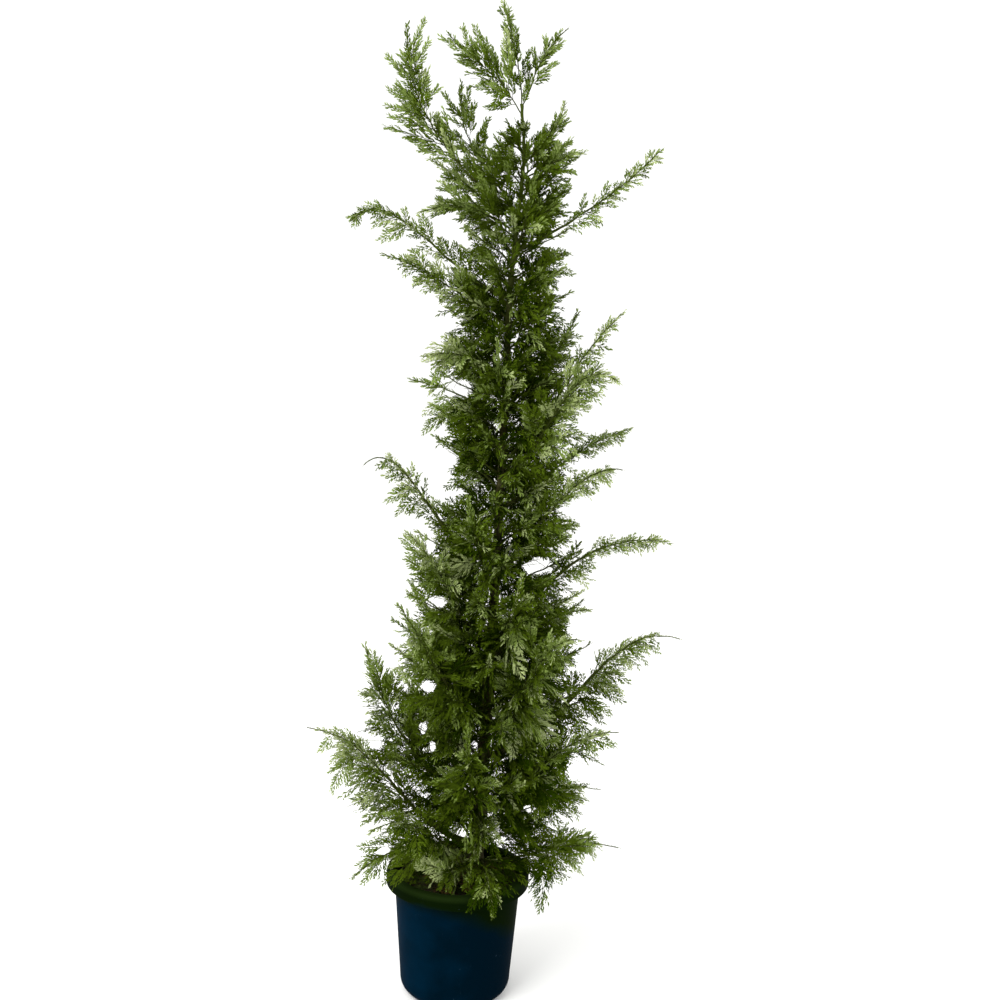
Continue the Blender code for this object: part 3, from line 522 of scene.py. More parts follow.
MOST_TRIANGLES = 190_000  # in one piece

# Room that sprays and blades leave to the pot's wall: (above it, inside it, outside it)
SPRAY_ROOM = (0.012, 0.012, 0.010)
BLADE_ROOM = (0.001, 0.006, 0.001)
LIFT_TRIES = 9  # how often, and how far each time, a spray that comes too near is raised
LIFT_STEP = 0.16
LIFT_POINTS = 8  # places along it that are tested
LIFT_FROM = 0.1  # and where the first of them is

UP = np.array((0.0, 0.0, 1.0))
DOWN = np.array((0.0, 0.0, -1.0))
STEEP = 0.9  # rise of a line whose sides can't be set against the vertical
WELD_DISTANCE = 1e-6

# Stage
FLOOR_RADIUS = 40
FLOOR_SIDES = 96
SENSOR_WIDTH = 36  # in millimetres, as the lens
LIGHT_AIM = (0.05, 0, 1.0)
KEY_PLACE = (-2.0, -2.4, 3.2)
KEY_SIZE = 2.6
FILL_PLACE = (2.6, -1.6, 1.6)
FILL_SIZE = 2.0
FARTHEST = 100  # how far the camera sees


def linear(hex_colour):
    """Linear red, green and blue of an sRGB hex colour."""
    shares = [int(hex_colour[i : i + 2], 16) / 255 for i in (1, 3, 5)]
    return tuple(c / 12.92 if c <= 0.04045 else ((c + 0.055) / 1.055) ** 2.4 for c in shares)


def colour_property(name, description, hex_colour):
    """A colour setting, whose default is an sRGB hex colour."""
    return FloatVectorProperty(
        name=name, description=description, subtype="COLOR", size=3, min=0, max=1, default=linear(hex_colour)
    )


def length_property(name, description, default, least):
    """A length setting, with the least that it may be."""
    return FloatProperty(name=name, description=description, default=default, min=least, unit="LENGTH")


# Settings


class CypressPotSettings(bpy.types.PropertyGroup):
    """Size and colours of the pot and its compost."""

    height: length_property("Height", "From the underside to the rim", POT_HEIGHT, 0.05)
    rim_radius: length_property("Rim radius", "Outside the turned-down lip", RIM_RADIUS, 0.05)
    algae_depth: length_property("Algae depth", "How far the green film reaches down from the rim", 0.045, 0)
    plastic: colour_property("Plastic", "Dark navy polypropylene", "#000d17")
    # rubbed plastic, and also painted light that makes the pot lighter on its left
    plastic_rubbed_and_lit: colour_property("Worn plastic", "The same where it is rubbed", "#00192a")
    scuff: colour_property("Scuffs", "Pale scuffs on the plastic", "#5d7488")
    # the green film along the top of the lip, lighter there as a painted highlight
    algae: colour_property("Algae", "Green film on the edge of the lip", "#142008")
    # the film below the top of the lip, darker as painted shade under it
    algae_shaded: colour_property("Damp algae", "The same below it", "#061002")
    peat: colour_property("Peat", "Damp compost", "#2a2214")
    moss: colour_property("Moss", "Moss on the compost", "#2c3810")


class CypressCrownSettings(bpy.types.PropertyGroup):
    """How finely the crown is branched, and its colours."""

    spray_spacing: length_property("Spray spacing", "Between sprays along a shoot", 0.0044, 0.003)
    branchlet_step: length_property("Branchlet step", "Between branchlets along a rachis", 0.0060, 0.002)
    twiglet_step: length_property("Twiglet step", "Between twiglets along a branchlet", 0.0027, 0.001)
    inner_shoots: IntProperty(
        name="Inner shoots", description="Short shoots that hide the trunk", default=148, min=0, max=200
    )
    # greens partly real by age, partly painted light: painted shade inside the crown, painted light outside
    deep: colour_property("Deep green", "Old sprays inside the crown", "#213200")
    mid: colour_property("Mid green", "Sprays of the last season", "#43540f")
    light: colour_property("Light green", "Outer sprays", "#68793a")
    pale: colour_property("Pale green", "This season's tips", "#909c66")
    dead: colour_property("Dead spray", "Fallen sprays on the compost", "#4a3a1c")
    stem: colour_property("Green stem", "Shoots and rachises", "#333d12")
    bark: colour_property("Bark", "Trunk and limbs", "#2e2d15")
    crack: colour_property("Bark crack", "In the cracks of the bark", "#1a180a")
    bloom: colour_property("Bark bloom", "Grey bloom between the cracks", "#5d5a40")


class CypressStageSettings(bpy.types.PropertyGroup):
    """The floor, the studio light and the camera."""

    floor: colour_property("Floor", "Plain pale floor", "#fbfbf9")
    sky_strength: FloatProperty(
        name="Surrounding light", description="Strength of the even white surroundings", default=1.15, min=0
    )
    key_power: FloatProperty(name="Key light", description="Large softbox", default=150, min=0, unit="POWER")
    fill_power: FloatProperty(
        name="Fill light", description="Softer light opposite", default=20, min=0, unit="POWER"
    )
    lens: FloatProperty(
        name="Lens", description="Focal length in millimetres", default=50.54, min=10, unit="CAMERA"
    )
    pitch: FloatProperty(
        name="Pitch", description="How far the camera looks down", default=math.radians(9.3), subtype="ANGLE"
    )
    roll: FloatProperty(
        name="Roll",
        description="The camera's lean in the photograph",
        default=math.radians(1.9),
        subtype="ANGLE",
    )


# Materials

NOISE = "ShaderNodeTexNoise"
RANGE = "ShaderNodeMapRange"
MIX = "ShaderNodeMix"
MATHS = "ShaderNodeMath"
SPLIT = "ShaderNodeSeparateXYZ"
BUMP = "ShaderNodeBump"
COLOURS = {"data_type": "RGBA", "out": 2}  # a mix node's settings, and its output, for mixing colours
PAINTED_LIGHT_LEAN = -3.5  # how much lighter the pot is on its left, as painted light from that side
ALGAE_WANDER = 0.026  # how unevenly the film on the pot ends
ALGAE_LEAN = 0.30  # how much lower it reaches for each metre to the right
ALGAE_SAG = 3.0  # and towards both sides, by the square of the distance
ALGAE_FADE = 0.032  # height in which it thins out
LIP_HIGHLIGHT = (0.012, 0.003)  # painted highlight along the top of the lip: from the rim down to where it starts to be lighter, and where it wholly is
SCUFF = 0.22  # how strong the scuffs are
WET_PEAT = 0.35  # how dark the compost is where it is wet, for 1 where it is dry
BLOOM = 0.5  # how strong the bark's bloom is
GREEN_FROM = 1.20  # the height where the trunk's bark starts to be green, and where it wholly is
GREEN_ABOVE = 1.55
STEM_BROWN = 0.6  # how near the brown patches on a shoot come to the colour of bark
LEAF_SHADES = (0.72, 1.22)  # how dark and how light a leaf gets, for its tone of 1
PAPER_SHADE = 0.98  # how dark the paper's mottle is, for 1 between its patches


def add_node(tree, kind, inputs, out=0, **settings):
    """A new node with its settings. Each input takes a value, or the output that is linked to it."""
    node = tree.nodes.new(kind)
    for name, value in settings.items():
        setattr(node, name, value)
    for socket, value in inputs.items():
        if isinstance(value, bpy.types.NodeSocket):
            tree.links.new(value, node.inputs[socket])
        elif node.inputs[socket].type == "RGBA":
            node.inputs[socket].default_value = (*value, 1)
        else:
            node.inputs[socket].default_value = value
    return node.outputs[out]


def new_finish(name, roughness, ior, specular):
    """A material with one Principled surface, its node tree, and the place that its patterns follow."""
    finish = bpy.data.materials.new(name)
    finish.use_nodes = True
    tree = finish.node_tree
    surface = tree.nodes["Principled BSDF"].inputs
    values = {"Roughness": roughness, "IOR": ior, "Specular IOR Level": specular, "Metallic": 0}
    for socket, value in values.items():
        surface[socket].default_value = value
    return finish, tree, add_node(tree, "ShaderNodeTexCoord", {}, "Object")


def surfaced(finish, colour, relief=None):
    """The material, with its colour and any relief linked to its surface."""
    tree = finish.node_tree
    surface = tree.nodes["Principled BSDF"].inputs
    tree.links.new(colour, surface["Base Color"])
    if relief is not None:
        tree.links.new(relief, surface["Normal"])
    return finish


def every(millimetres):
    """The scale of a noise whose patches are about this far apart."""
    return 1000 / millimetres


def shade(colour, factor):
    """A colour made darker or lighter by a factor."""
    return tuple(min(1, factor * c) for c in colour)


def moulded_polypropylene(settings):
    """Injection-moulded polypropylene, pigmented navy: nearly matt, with a faint texture from the mould, a
    few pale scuffs and patches of wear, and lighter on its left by painted light. A dull green
    film of algae runs down from the rim, with a painted highlight along the top of the lip and painted
    shade below it. The texture is 0.3 mm wide, and is drawn at 1.2 mm so that it shows."""
    finish, tree, place = new_finish("pot_moulded_polypropylene", roughness=0.5, ior=1.49, specular=0.003)
    height = add_node(tree, SPLIT, {"Vector": place}, "Z")
    across = add_node(tree, SPLIT, {"Vector": place}, "X")
    cloud = add_node(tree, NOISE, {"Vector": place, "Scale": every(60), "Detail": 4})
    # lighter in cloudy patches of wear, and towards the left by painted light
    wear_and_light = add_node(tree, MATHS, {0: across, 1: PAINTED_LIGHT_LEAN, 2: cloud}, operation="MULTIPLY_ADD")
    rubbed_and_lit = add_node(tree, RANGE, {"Value": wear_and_light, "From Min": 0.40, "From Max": 1.15})
    body = add_node(tree, MIX, {0: rubbed_and_lit, 6: settings.plastic, 7: settings.plastic_rubbed_and_lit}, **COLOURS)
    drip = add_node(tree, NOISE, {"Vector": place, "Scale": every(45), "Detail": 3})
    level = add_node(tree, MATHS, {0: drip, 1: ALGAE_WANDER, 2: height}, operation="MULTIPLY_ADD")
    lean = add_node(tree, MATHS, {0: across, 1: ALGAE_SAG, 2: ALGAE_LEAN}, operation="MULTIPLY_ADD")
    level = add_node(tree, MATHS, {0: across, 1: lean, 2: level}, operation="MULTIPLY_ADD")
    low = settings.height - settings.algae_depth
    film = add_node(tree, RANGE, {"Value": level, "From Min": low, "From Max": low + ALGAE_FADE})
    # a painted highlight along the top of the lip, and painted shade on the film below it
    edge = [settings.height - depth for depth in LIP_HIGHLIGHT]
    lip = add_node(tree, RANGE, {"Value": height, "From Min": edge[0], "From Max": edge[1]})
    algae = add_node(tree, MIX, {0: lip, 6: settings.algae_shaded, 7: settings.algae}, **COLOURS)
    tinted = add_node(tree, MIX, {0: film, 6: body, 7: algae}, **COLOURS)
    speck = add_node(tree, NOISE, {"Vector": place, "Scale": every(3.5), "Detail": 2})
    specks = add_node(tree, RANGE, {"Value": speck, "From Min": 0.70, "From Max": 0.76, "To Max": SCUFF})
    patch = add_node(tree, NOISE, {"Vector": place, "Scale": every(35), "Detail": 2})
    patches = add_node(tree, RANGE, {"Value": patch, "From Min": 0.55, "From Max": 0.68})
    scuff = add_node(tree, MATHS, {0: specks, 1: patches}, operation="MULTIPLY")
    colour = add_node(tree, MIX, {0: scuff, 6: tinted, 7: settings.scuff}, **COLOURS)
    mould = add_node(tree, NOISE, {"Vector": place, "Scale": every(1.2), "Detail": 2})
    relief = add_node(tree, BUMP, {"Height": mould, "Strength": 0.25, "Distance": 0.0002})
    return surfaced(finish, colour, relief)


def peat_compost(settings):
    """Damp sphagnum peat: short brown fibres and dark crumbs under patches of dull moss. It has no shine."""
    finish, tree, place = new_finish("peat_compost", roughness=0.95, ior=1.40, specular=0.2)
    fibre = add_node(tree, NOISE, {"Vector": place, "Scale": every(2.5), "Detail": 5, "Roughness": 0.7})
    wet = shade(settings.peat, WET_PEAT)
    dry = add_node(tree, RANGE, {"Value": fibre, "From Min": 0.35, "From Max": 0.65})
    soil = add_node(tree, MIX, {0: dry, 6: wet, 7: settings.peat}, **COLOURS)
    patch = add_node(tree, NOISE, {"Vector": place, "Scale": every(22), "Detail": 3})
    moss = add_node(tree, RANGE, {"Value": patch, "From Min": 0.44, "From Max": 0.56})
    colour = add_node(tree, MIX, {0: moss, 6: soil, 7: settings.moss}, **COLOURS)
    relief = add_node(tree, BUMP, {"Height": fibre, "Strength": 0.9, "Distance": 0.0015})
    return surfaced(finish, colour, relief)


def cypress_periderm(settings):
    """Young cypress bark: thin and dull, with short dark cracks 3 mm apart along the wood and a grey bloom
    between them. Its green skin is left near the top."""
    finish, tree, place = new_finish("cypress_periderm", roughness=0.85, ior=1.45, specular=0.05)
    stretch = (1, 1, 1 / BARK_CRACK_LENGTH)
    along = add_node(tree, "ShaderNodeMapping", {"Vector": place, "Scale": stretch})
    cracks = add_node(tree, NOISE, {"Vector": along, "Scale": every(3), "Detail": 4, "Roughness": 0.6})
    cloud = add_node(tree, NOISE, {"Vector": place, "Scale": every(20), "Detail": 3})
    bloom = add_node(tree, RANGE, {"Value": cloud, "From Min": 0.45, "From Max": 0.70, "To Max": BLOOM})
    wood = add_node(tree, MIX, {0: bloom, 6: settings.bark, 7: settings.bloom}, **COLOURS)
    ridge = add_node(tree, RANGE, {"Value": cracks, "From Min": 0.36, "From Max": 0.52})
    old = add_node(tree, MIX, {0: ridge, 6: settings.crack, 7: wood}, **COLOURS)
    height = add_node(tree, SPLIT, {"Vector": place}, "Z")
    young = add_node(tree, RANGE, {"Value": height, "From Min": GREEN_FROM, "From Max": GREEN_ABOVE})
    colour = add_node(tree, MIX, {0: young, 6: old, 7: settings.stem}, **COLOURS)
    relief = add_node(tree, BUMP, {"Height": cracks, "Strength": 0.8, "Distance": 0.0008})
    return surfaced(finish, colour, relief)


def green_shoot_bark(settings):
    """Bark of this and last year's shoots: matt and nearly smooth, olive, turning brown in patches. The
    grain of its skin is finer than shows, and is drawn at 1.2 mm."""
    finish, tree, place = new_finish("green_shoot_bark", roughness=0.70, ior=1.45, specular=0.03)
    cloud = add_node(tree, NOISE, {"Vector": place, "Scale": every(30), "Detail": 3})
    patches = add_node(tree, RANGE, {"Value": cloud, "From Min": 0.40, "From Max": 0.65})
    brown = tuple(STEM_BROWN * a + (1 - STEM_BROWN) * b for a, b in zip(settings.bark, settings.stem))
    colour = add_node(tree, MIX, {0: patches, 6: settings.stem, 7: brown}, **COLOURS)
    skin = add_node(tree, NOISE, {"Vector": place, "Scale": every(1.2), "Detail": 3})
    relief = add_node(tree, BUMP, {"Height": skin, "Strength": 0.5, "Distance": 0.0003})
    return surfaced(finish, colour, relief)


def scale_leaf_wax(tone, leaf):
    """Scale leaves pressed to the twig, under a thin dull wax: hardly any shine, and a green that shifts a
    little from leaf to leaf. The grain stands for the overlapping scales, 2 mm long."""
    finish, tree, place = new_finish(f"scale_leaf_wax_{tone}", roughness=0.62, ior=1.42, specular=0.01)
    cloud = add_node(tree, NOISE, {"Vector": place, "Scale": every(12), "Detail": 2})
    shift = add_node(tree, RANGE, {"Value": cloud, "From Min": 0.30, "From Max": 0.70})
    dark, light = (shade(leaf, factor) for factor in LEAF_SHADES)
    colour = add_node(tree, MIX, {0: shift, 6: dark, 7: light}, **COLOURS)
    scales = add_node(tree, NOISE, {"Vector": place, "Scale": every(2), "Detail": 1})
    relief = add_node(tree, BUMP, {"Height": scales, "Strength": 0.4, "Distance": 0.0004})
    return surfaced(finish, colour, relief)


def matt_paper(settings):
    """Seamless background paper: even, matt and nearly white, with the faintest mottle."""
    finish, tree, place = new_finish("matt_background_paper", roughness=0.9, ior=1.45, specular=0.2)
    cloud = add_node(tree, NOISE, {"Vector": place, "Scale": every(400), "Detail": 2})
    mottle = add_node(tree, RANGE, {"Value": cloud, "From Min": 0.3, "From Max": 0.7})
    soft = shade(settings.floor, PAPER_SHADE)
    return surfaced(finish, add_node(tree, MIX, {0: mottle, 6: soft, 7: settings.floor}, **COLOURS))


# Meshes


def unit(vectors):
    """Vectors brought to a length of 1."""
    return vectors / np.maximum(np.linalg.norm(vectors, axis=-1, keepdims=True), 1e-12)


def placed(name, mesh, finish):
    """A new object in the scene from a mesh and its material."""
    mesh.materials.append(finish)
    obj = bpy.data.objects.new(name, mesh)
    bpy.context.scene.collection.objects.link(obj)
    return obj


def mesh_object(name, points, faces, finish, smooth):
    """A new object from an array of points and one of faces that all have the same number of corners."""
    mesh = bpy.data.meshes.new(name)
    count, corners = faces.shape
    mesh.vertices.add(len(points))
    mesh.vertices.foreach_set("co", np.ascontiguousarray(points, np.float32).ravel())
    mesh.loops.add(count * corners)
    mesh.loops.foreach_set("vertex_index", np.ascontiguousarray(faces, np.int32).ravel())
    mesh.polygons.add(count)
    mesh.polygons.foreach_set("loop_start", np.arange(0, count * corners, corners, dtype=np.int32))
    mesh.update(calc_edges=True)
    if smooth:
        mesh.shade_smooth()
    else:
        mesh.shade_flat()
    return placed(name, mesh, finish)


def object_of(name, bm, finish):
    """A new object from a bmesh, with its faces turned out."""
    bmesh.ops.recalc_face_normals(bm, faces=bm.faces)
    mesh = bpy.data.meshes.new(name)
    bm.to_mesh(mesh)
    bm.free()
    return placed(name, mesh, finish)


def stand_in(obj, slot, *nodes):
    """Puts a finished piece in the part: it rides on the one body and replaces its nodes."""
    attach(obj, "root")
    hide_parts(*nodes)


def turns_of(sides):
    """Even turns round a circle, in radians."""
    return 2 * math.pi * np.arange(sides) / sides


def skin(rings, start, end):
    """Points and four-cornered faces through rings of points, closed to a point at both ends."""
    sides = len(rings[0])
    rings = [np.repeat([np.array(start)], sides, axis=0), *rings, np.repeat([np.array(end)], sides, axis=0)]
    ring, step = np.meshgrid(np.arange(len(rings) - 1), np.arange(sides), indexing="ij")
    near, far = ring * sides, (ring + 1) * sides
    after = (step + 1) % sides
    faces = np.stack([near + step, near + after, far + after, far + step])
    return np.concatenate(rings), faces.reshape(4, -1).T


def tube(centres, radii, sides, swell=None):
    """Points and faces of a limb about its middle line. swell gives each ring's points a factor on their
    radius."""
    centres, radii = np.asarray(centres, float), np.asarray(radii, float)
    tangents = unit(np.gradient(centres, axis=0))
    side = np.cross(tangents[0], (0.0, 1.0, 0.0) if abs(tangents[0, 2]) > STEEP else UP)
    turns = turns_of(sides)[:, None]
    rings = []
    for i, tangent in enumerate(tangents):
        side = unit(side - tangent * (side @ tangent))
        up = np.cross(side, tangent)
        factor = 1 if swell is None else swell[i][:, None]
        rings.append(centres[i] + radii[i] * factor * (np.cos(turns) * side + np.sin(turns) * up))
    return skin(rings, centres[0], centres[-1])


def joined(parts):
    """Several (points, faces) pairs as one."""
    starts = np.cumsum([0] + [len(points) for points, _ in parts[:-1]])
    faces = np.concatenate([faces + start for (_, faces), start in zip(parts, starts)])
    return np.concatenate([points for points, _ in parts]), faces


def welded(obj):
    """Merges the points that close a tube's ends, which drops the faces that they collapse."""
    bm = bmesh.new()
    bm.from_mesh(obj.data)
    bmesh.ops.remove_doubles(bm, verts=bm.verts, dist=WELD_DISTANCE)
    bm.to_mesh(obj.data)
    bm.free()
    return obj


def wavy(point, size):
    """Smooth noise from about -1 to 1, whose waves are about as long as a size."""
    return noise.noise(Vector(point) / size)


# Pot and compost


def arc(centre, radius, start, end, steps):
    """Points of an arc in the (radius, height) plane, angles in degrees."""
    turns = (math.radians(start + (end - start) * i / steps) for i in range(steps + 1))
    return [(centre[0] + radius * math.cos(a), centre[1] + radius * math.sin(a)) for a in turns]


def wall_radius(height):
    """The pot wall's outer radius at a height."""
    share = (height - POT_HEEL_RADIUS) / (POT_HEIGHT - RIM_DEPTH - POT_HEEL_RADIUS)
    return POT_WALL_FOOT_RADIUS + share * (POT_WALL_TOP_RADIUS - POT_WALL_FOOT_RADIUS)


def inner_radius(height):
    """The radius inside the pot, whose wall thins from its heel to its mouth."""
    share = (height - POT_HEEL_RADIUS) / (POT_HEIGHT - POT_HEEL_RADIUS)
    foot = POT_WALL_FOOT_RADIUS - POT_FLOOR
    return foot + share * (wall_radius(POT_HEIGHT) - POT_WALL - foot)


def heel(room):
    """The rounding between floor and wall, drawn in by an amount, from the floor up."""
    return arc((POT_FOOT_RADIUS, POT_HEEL_RADIUS), POT_HEEL_RADIUS - room, -90, 0, steps=14)


def pot_section(settings):
    """Half section of the pot, from the middle of its underside round its turned-down lip to its floor."""
    height, rim = settings.height, settings.rim_radius
    lip_foot = height - RIM_DEPTH
    lip_inside = rim - POT_WALL
    channel = height - POT_WALL
    bead = POT_WALL / 2
    outside = [(0, 0)] + heel(0)
    outside += arc((wall_radius(channel) + bead, channel - bead), bead, 180, 90, steps=4)
    outside += arc((lip_inside - bead, channel - bead), bead, 90, 0, steps=4)
    lip = arc((rim - bead, lip_foot + bead), bead, 180, 360, steps=8)
    lip += arc((rim - RIM_ROUNDING, height - RIM_ROUNDING), RIM_ROUNDING, 0, 90, steps=12)
    mouth = arc((inner_radius(channel) + bead, height - bead), bead, 90, 180, steps=6)
    return outside + lip + mouth + heel(POT_FLOOR)[::-1] + [(0, POT_FLOOR)]


def turned(section, sides):
    """A closed bmesh turned about Z from a half section that starts and ends on the axis."""
    bm = bmesh.new()
    low = bm.verts.new((0, 0, section[0][1]))
    high = bm.verts.new((0, 0, section[-1][1]))
    turns = turns_of(sides)
    rings = [[bm.verts.new((r * math.cos(a), r * math.sin(a), z)) for a in turns] for r, z in section[1:-1]]
    for i in range(sides):
        j = (i + 1) % sides
        bm.faces.new((low, rings[0][j], rings[0][i]))
        for near, far in zip(rings, rings[1:]):
            bm.faces.new((near[i], near[j], far[j], far[i]))
        bm.faces.new((high, rings[-1][i], rings[-1][j]))
    return bm


def drill(pot, finish):
    """Cuts the drain holes with one Boolean, which is then applied."""
    bm = bmesh.new()
    for i in range(DRAIN_HOLES):
        turn = 2 * math.pi * (i + 0.5) / DRAIN_HOLES
        place = (DRAIN_RING_RADIUS * math.cos(turn), DRAIN_RING_RADIUS * math.sin(turn), POT_FLOOR / 2)
        bmesh.ops.create_cone(
            bm,
            cap_ends=True,
            segments=DRAIN_HOLE_SIDES,
            radius1=DRAIN_HOLE_RADIUS,
            radius2=DRAIN_HOLE_RADIUS,
            depth=4 * POT_FLOOR,
            matrix=Matrix.Translation(place),
        )
    cutter = object_of("drain_cutter", bm, finish)
    cut = pot.modifiers.new("drain", "BOOLEAN")
    cut.operation = "DIFFERENCE"
    cut.object = cutter
    bpy.context.view_layer.update()
    drilled = bpy.data.meshes.new_from_object(pot.evaluated_get(bpy.context.evaluated_depsgraph_get()))
    pot.modifiers.clear()
    pot.data = drilled
    bpy.data.objects.remove(cutter)


def compost_height(x, y):
    """The compost's surface: lumps of three sizes, heaped a little against the trunk."""
    lumps = sum(share * wavy((x, y, layer), size) for size, share, layer in SOIL_LUMPS)
    from_trunk = math.hypot(x - TRUNK_LINE[0].x, y)
    return SOIL_LEVEL + SOIL_RELIEF * lumps + SOIL_HEAP * math.exp(-from_trunk / SOIL_HEAP_WIDTH)


def compost_body(finish):
    """The compost as one closed body, with its lumps on top."""
    edge = inner_radius(SOIL_LEVEL) - SOIL_GAP
    section = [(0, POT_FLOOR + SOIL_GAP)] + heel(POT_FLOOR + SOIL_GAP)
    section.append((edge, SOIL_LEVEL - 2 * SOIL_RELIEF))
    section += [(edge * (1 - i / SOIL_RINGS), SOIL_LEVEL) for i in range(SOIL_RINGS)] + [(0, SOIL_LEVEL)]
    bm = turned(section, SOIL_SIDES)
    for vert in bm.verts:
        if vert.co.z > SOIL_LEVEL - SOIL_RELIEF:
            vert.co.z = compost_height(vert.co.x, vert.co.y)
    obj = object_of("compost", bm, finish)
    obj.data.shade_smooth()
    return obj


def on_compost(chance, inset):
    """A random place on the compost, even over its area."""
    radius = (inner_radius(SOIL_LEVEL) - inset) * math.sqrt(chance.random())
    turn = chance.uniform(0, 2 * math.pi)
    return radius * math.cos(turn), radius * math.sin(turn)


def compost_crumbs(finish):
    """Lumps of peat and bark that lie half in the compost."""
    bm = bmesh.new()
    bmesh.ops.create_icosphere(bm, subdivisions=1, radius=1)
    ball = np.array([v.co for v in bm.verts])
    corners = np.array([[v.index for v in face.verts] for face in bm.faces])
    bm.free()
    chance = random.Random("crumbs")
    parts = []
    for _ in range(CRUMBS):
        x, y = on_compost(chance, CRUMB_INSET)
        size = chance.uniform(*CRUMB_SIZES)
        stretch = np.array([chance.uniform(*ends) for ends in CRUMB_STRETCH])
        turn = chance.uniform(0, 2 * math.pi)
        cos, sin = math.cos(turn), math.sin(turn)
        spin = np.array([[cos, -sin, 0], [sin, cos, 0], [0, 0, 1]])
        rough = np.array([[chance.uniform(*CRUMB_ROUGHNESS)] for _ in ball])
        place = np.array([x, y, compost_height(x, y) + CRUMB_LIFT * size])
        parts.append(((ball * rough * stretch * size) @ spin.T + place, corners))
    return mesh_object("compost_crumbs", *joined(parts), finish, smooth=False)


def root_hairs(finish):
    """Fine dry roots and grass-like fibres that curl over the compost."""
    chance = random.Random("root hairs")
    parts = []
    for _ in range(ROOT_HAIRS):
        x, y = on_compost(chance, HAIR_INSET)
        turn = chance.uniform(0, 2 * math.pi)
        bend = math.radians(chance.choice((-1, 1)) * chance.uniform(*HAIR_BENDS))
        arch = chance.uniform(*HAIR_ARCHES)
        stride = chance.uniform(*HAIR_STRIDES)
        line = []
        for i in range(HAIR_POINTS):
            lift = arch * math.sin(math.pi * i / (HAIR_POINTS - 1))
            line.append((x, y, compost_height(x, y) + HAIR_LIFT + lift))
            x += stride * math.cos(turn)
            y += stride * math.sin(turn)
            turn += bend + chance.uniform(-HAIR_WANDER, HAIR_WANDER)
        inside = [p for p in line if math.hypot(p[0], p[1]) < inner_radius(SOIL_LEVEL) - HAIR_CLEARANCE]
        if len(inside) >= HAIR_LEAST_POINTS:
            parts.append(tube(inside, np.full(len(inside), chance.uniform(*HAIR_RADII)), HAIR_SIDES))
    return welded(mesh_object("root_hairs", *joined(parts), finish, smooth=True))


# Trunk and limbs


def trunk_centre(height):
    """The trunk's middle at a height, on a smooth line through its points."""
    knots = TRUNK_LINE
    last = len(knots) - 2
    i = next((k for k in range(last) if height <= knots[k + 1].z), last)
    start, end = knots[i], knots[i + 1]
    before, after = knots[max(0, i - 1)], knots[min(len(knots) - 1, i + 2)]
    span = end.z - start.z
    t = (height - start.z) / span
    slope_in = (end - before) * span / (end.z - before.z)
    slope_out = (after - start) * span / (after.z - start.z)
    point = (
        start * (2 * t**3 - 3 * t**2 + 1)
        + slope_in * (t**3 - 2 * t**2 + t)
        + end * (3 * t**2 - 2 * t**3)
        + slope_out * (t**3 - t**2)
    )
    return Vector((point.x, point.y, height))


def trunk_radius(height):
    """The trunk's radius at a height, with the root flare at its foot."""
    foot, fork = TRUNK_LINE[0].z, TRUNK_LINE[-1].z
    share = (height - foot) / (fork - foot)
    taper = TRUNK_BASE_RADIUS + (TRUNK_FORK_RADIUS - TRUNK_BASE_RADIUS) * share**TRUNK_TAPER
    return taper + FLARE * math.exp(-(height - foot) / FLARE_HEIGHT)


def bark_ridges(turn, along, radius):
    """Height of the bark's lengthwise ridges at a turn round a limb and a distance along it, with finer
    ones over them that are a third as wide and half as high."""
    round_it = max(radius, BARK_CRACK) / BARK_CRACK
    lengthwise = along / (BARK_CRACK * BARK_CRACK_LENGTH)
    place = np.array((round_it * math.cos(turn), round_it * math.sin(turn), lengthwise))
    return BARK_RELIEF * (1 - 2 * abs(wavy(place, 1)) + 0.5 * wavy(3 * place, 1))


def trunk_body(shoots):
    """Points and faces of the trunk in level rings, with root lobes, bark and a collar at each shoot."""
    foot, fork = TRUNK_LINE[0].z, TRUNK_LINE[-1].z
    turns = turns_of(BARK_SIDES)
    circle = np.stack([np.cos(turns), np.sin(turns), np.zeros(BARK_SIDES)], axis=1)
    rings = []
    for height in np.linspace(foot, fork, round((fork - foot) / BARK_RING_STEP)):
        radius = trunk_radius(height)
        lobe = ROOT_LOBE * FLARE * math.exp(-(height - foot) / FLARE_HEIGHT)
        collars = [shoot for shoot in shoots if abs(shoot.height - height) < COLLAR_REACH]
        ring = []
        for turn in turns:
            stands = lobe * math.cos(ROOT_LOBES * turn) + radius * bark_ridges(turn, height, radius)
            for shoot in collars:
                facing = max(0, math.cos(turn - math.radians(shoot.azimuth)))
                away = (shoot.height - height) / COLLAR_HEIGHT
                stands += COLLAR * facing**3 * math.exp(-(away**2))
            ring.append(radius + stands)
        rings.append(np.array(trunk_centre(height)) + np.array(ring)[:, None] * circle)
    return skin(rings, trunk_centre(foot), trunk_centre(fork))


def limb_body(shoot, path):
    """Points and faces of a bare limb, sunk a little in the trunk, with its bark."""
    length = shoot.limb * path.length
    shares = np.linspace(0, shoot.limb, max(FEWEST_RINGS, round(length / BARK_RING_STEP)))
    centres = path.at(shares)
    centres[0] -= path.cap * path.radius(0)
    radii = [path.radius(t) for t in shares]
    swell = []
    for t, radius in zip(shares, radii):
        flare = 1 + LIMB_FLARE * math.exp(-t * path.length / LIMB_FLARE_LENGTH)
        ridges = [bark_ridges(turn, t * path.length, radius) for turn in turns_of(LIMB_SIDES)]
        swell.append(flare + np.array(ridges))
    return tube(centres, radii, LIMB_SIDES, swell)


# Shoots


def radius_at(height, radii):
    """How far a part of the crown reaches from the trunk at a height, from a list of (height, radius)."""
    return float(np.interp(height, *zip(*radii)))


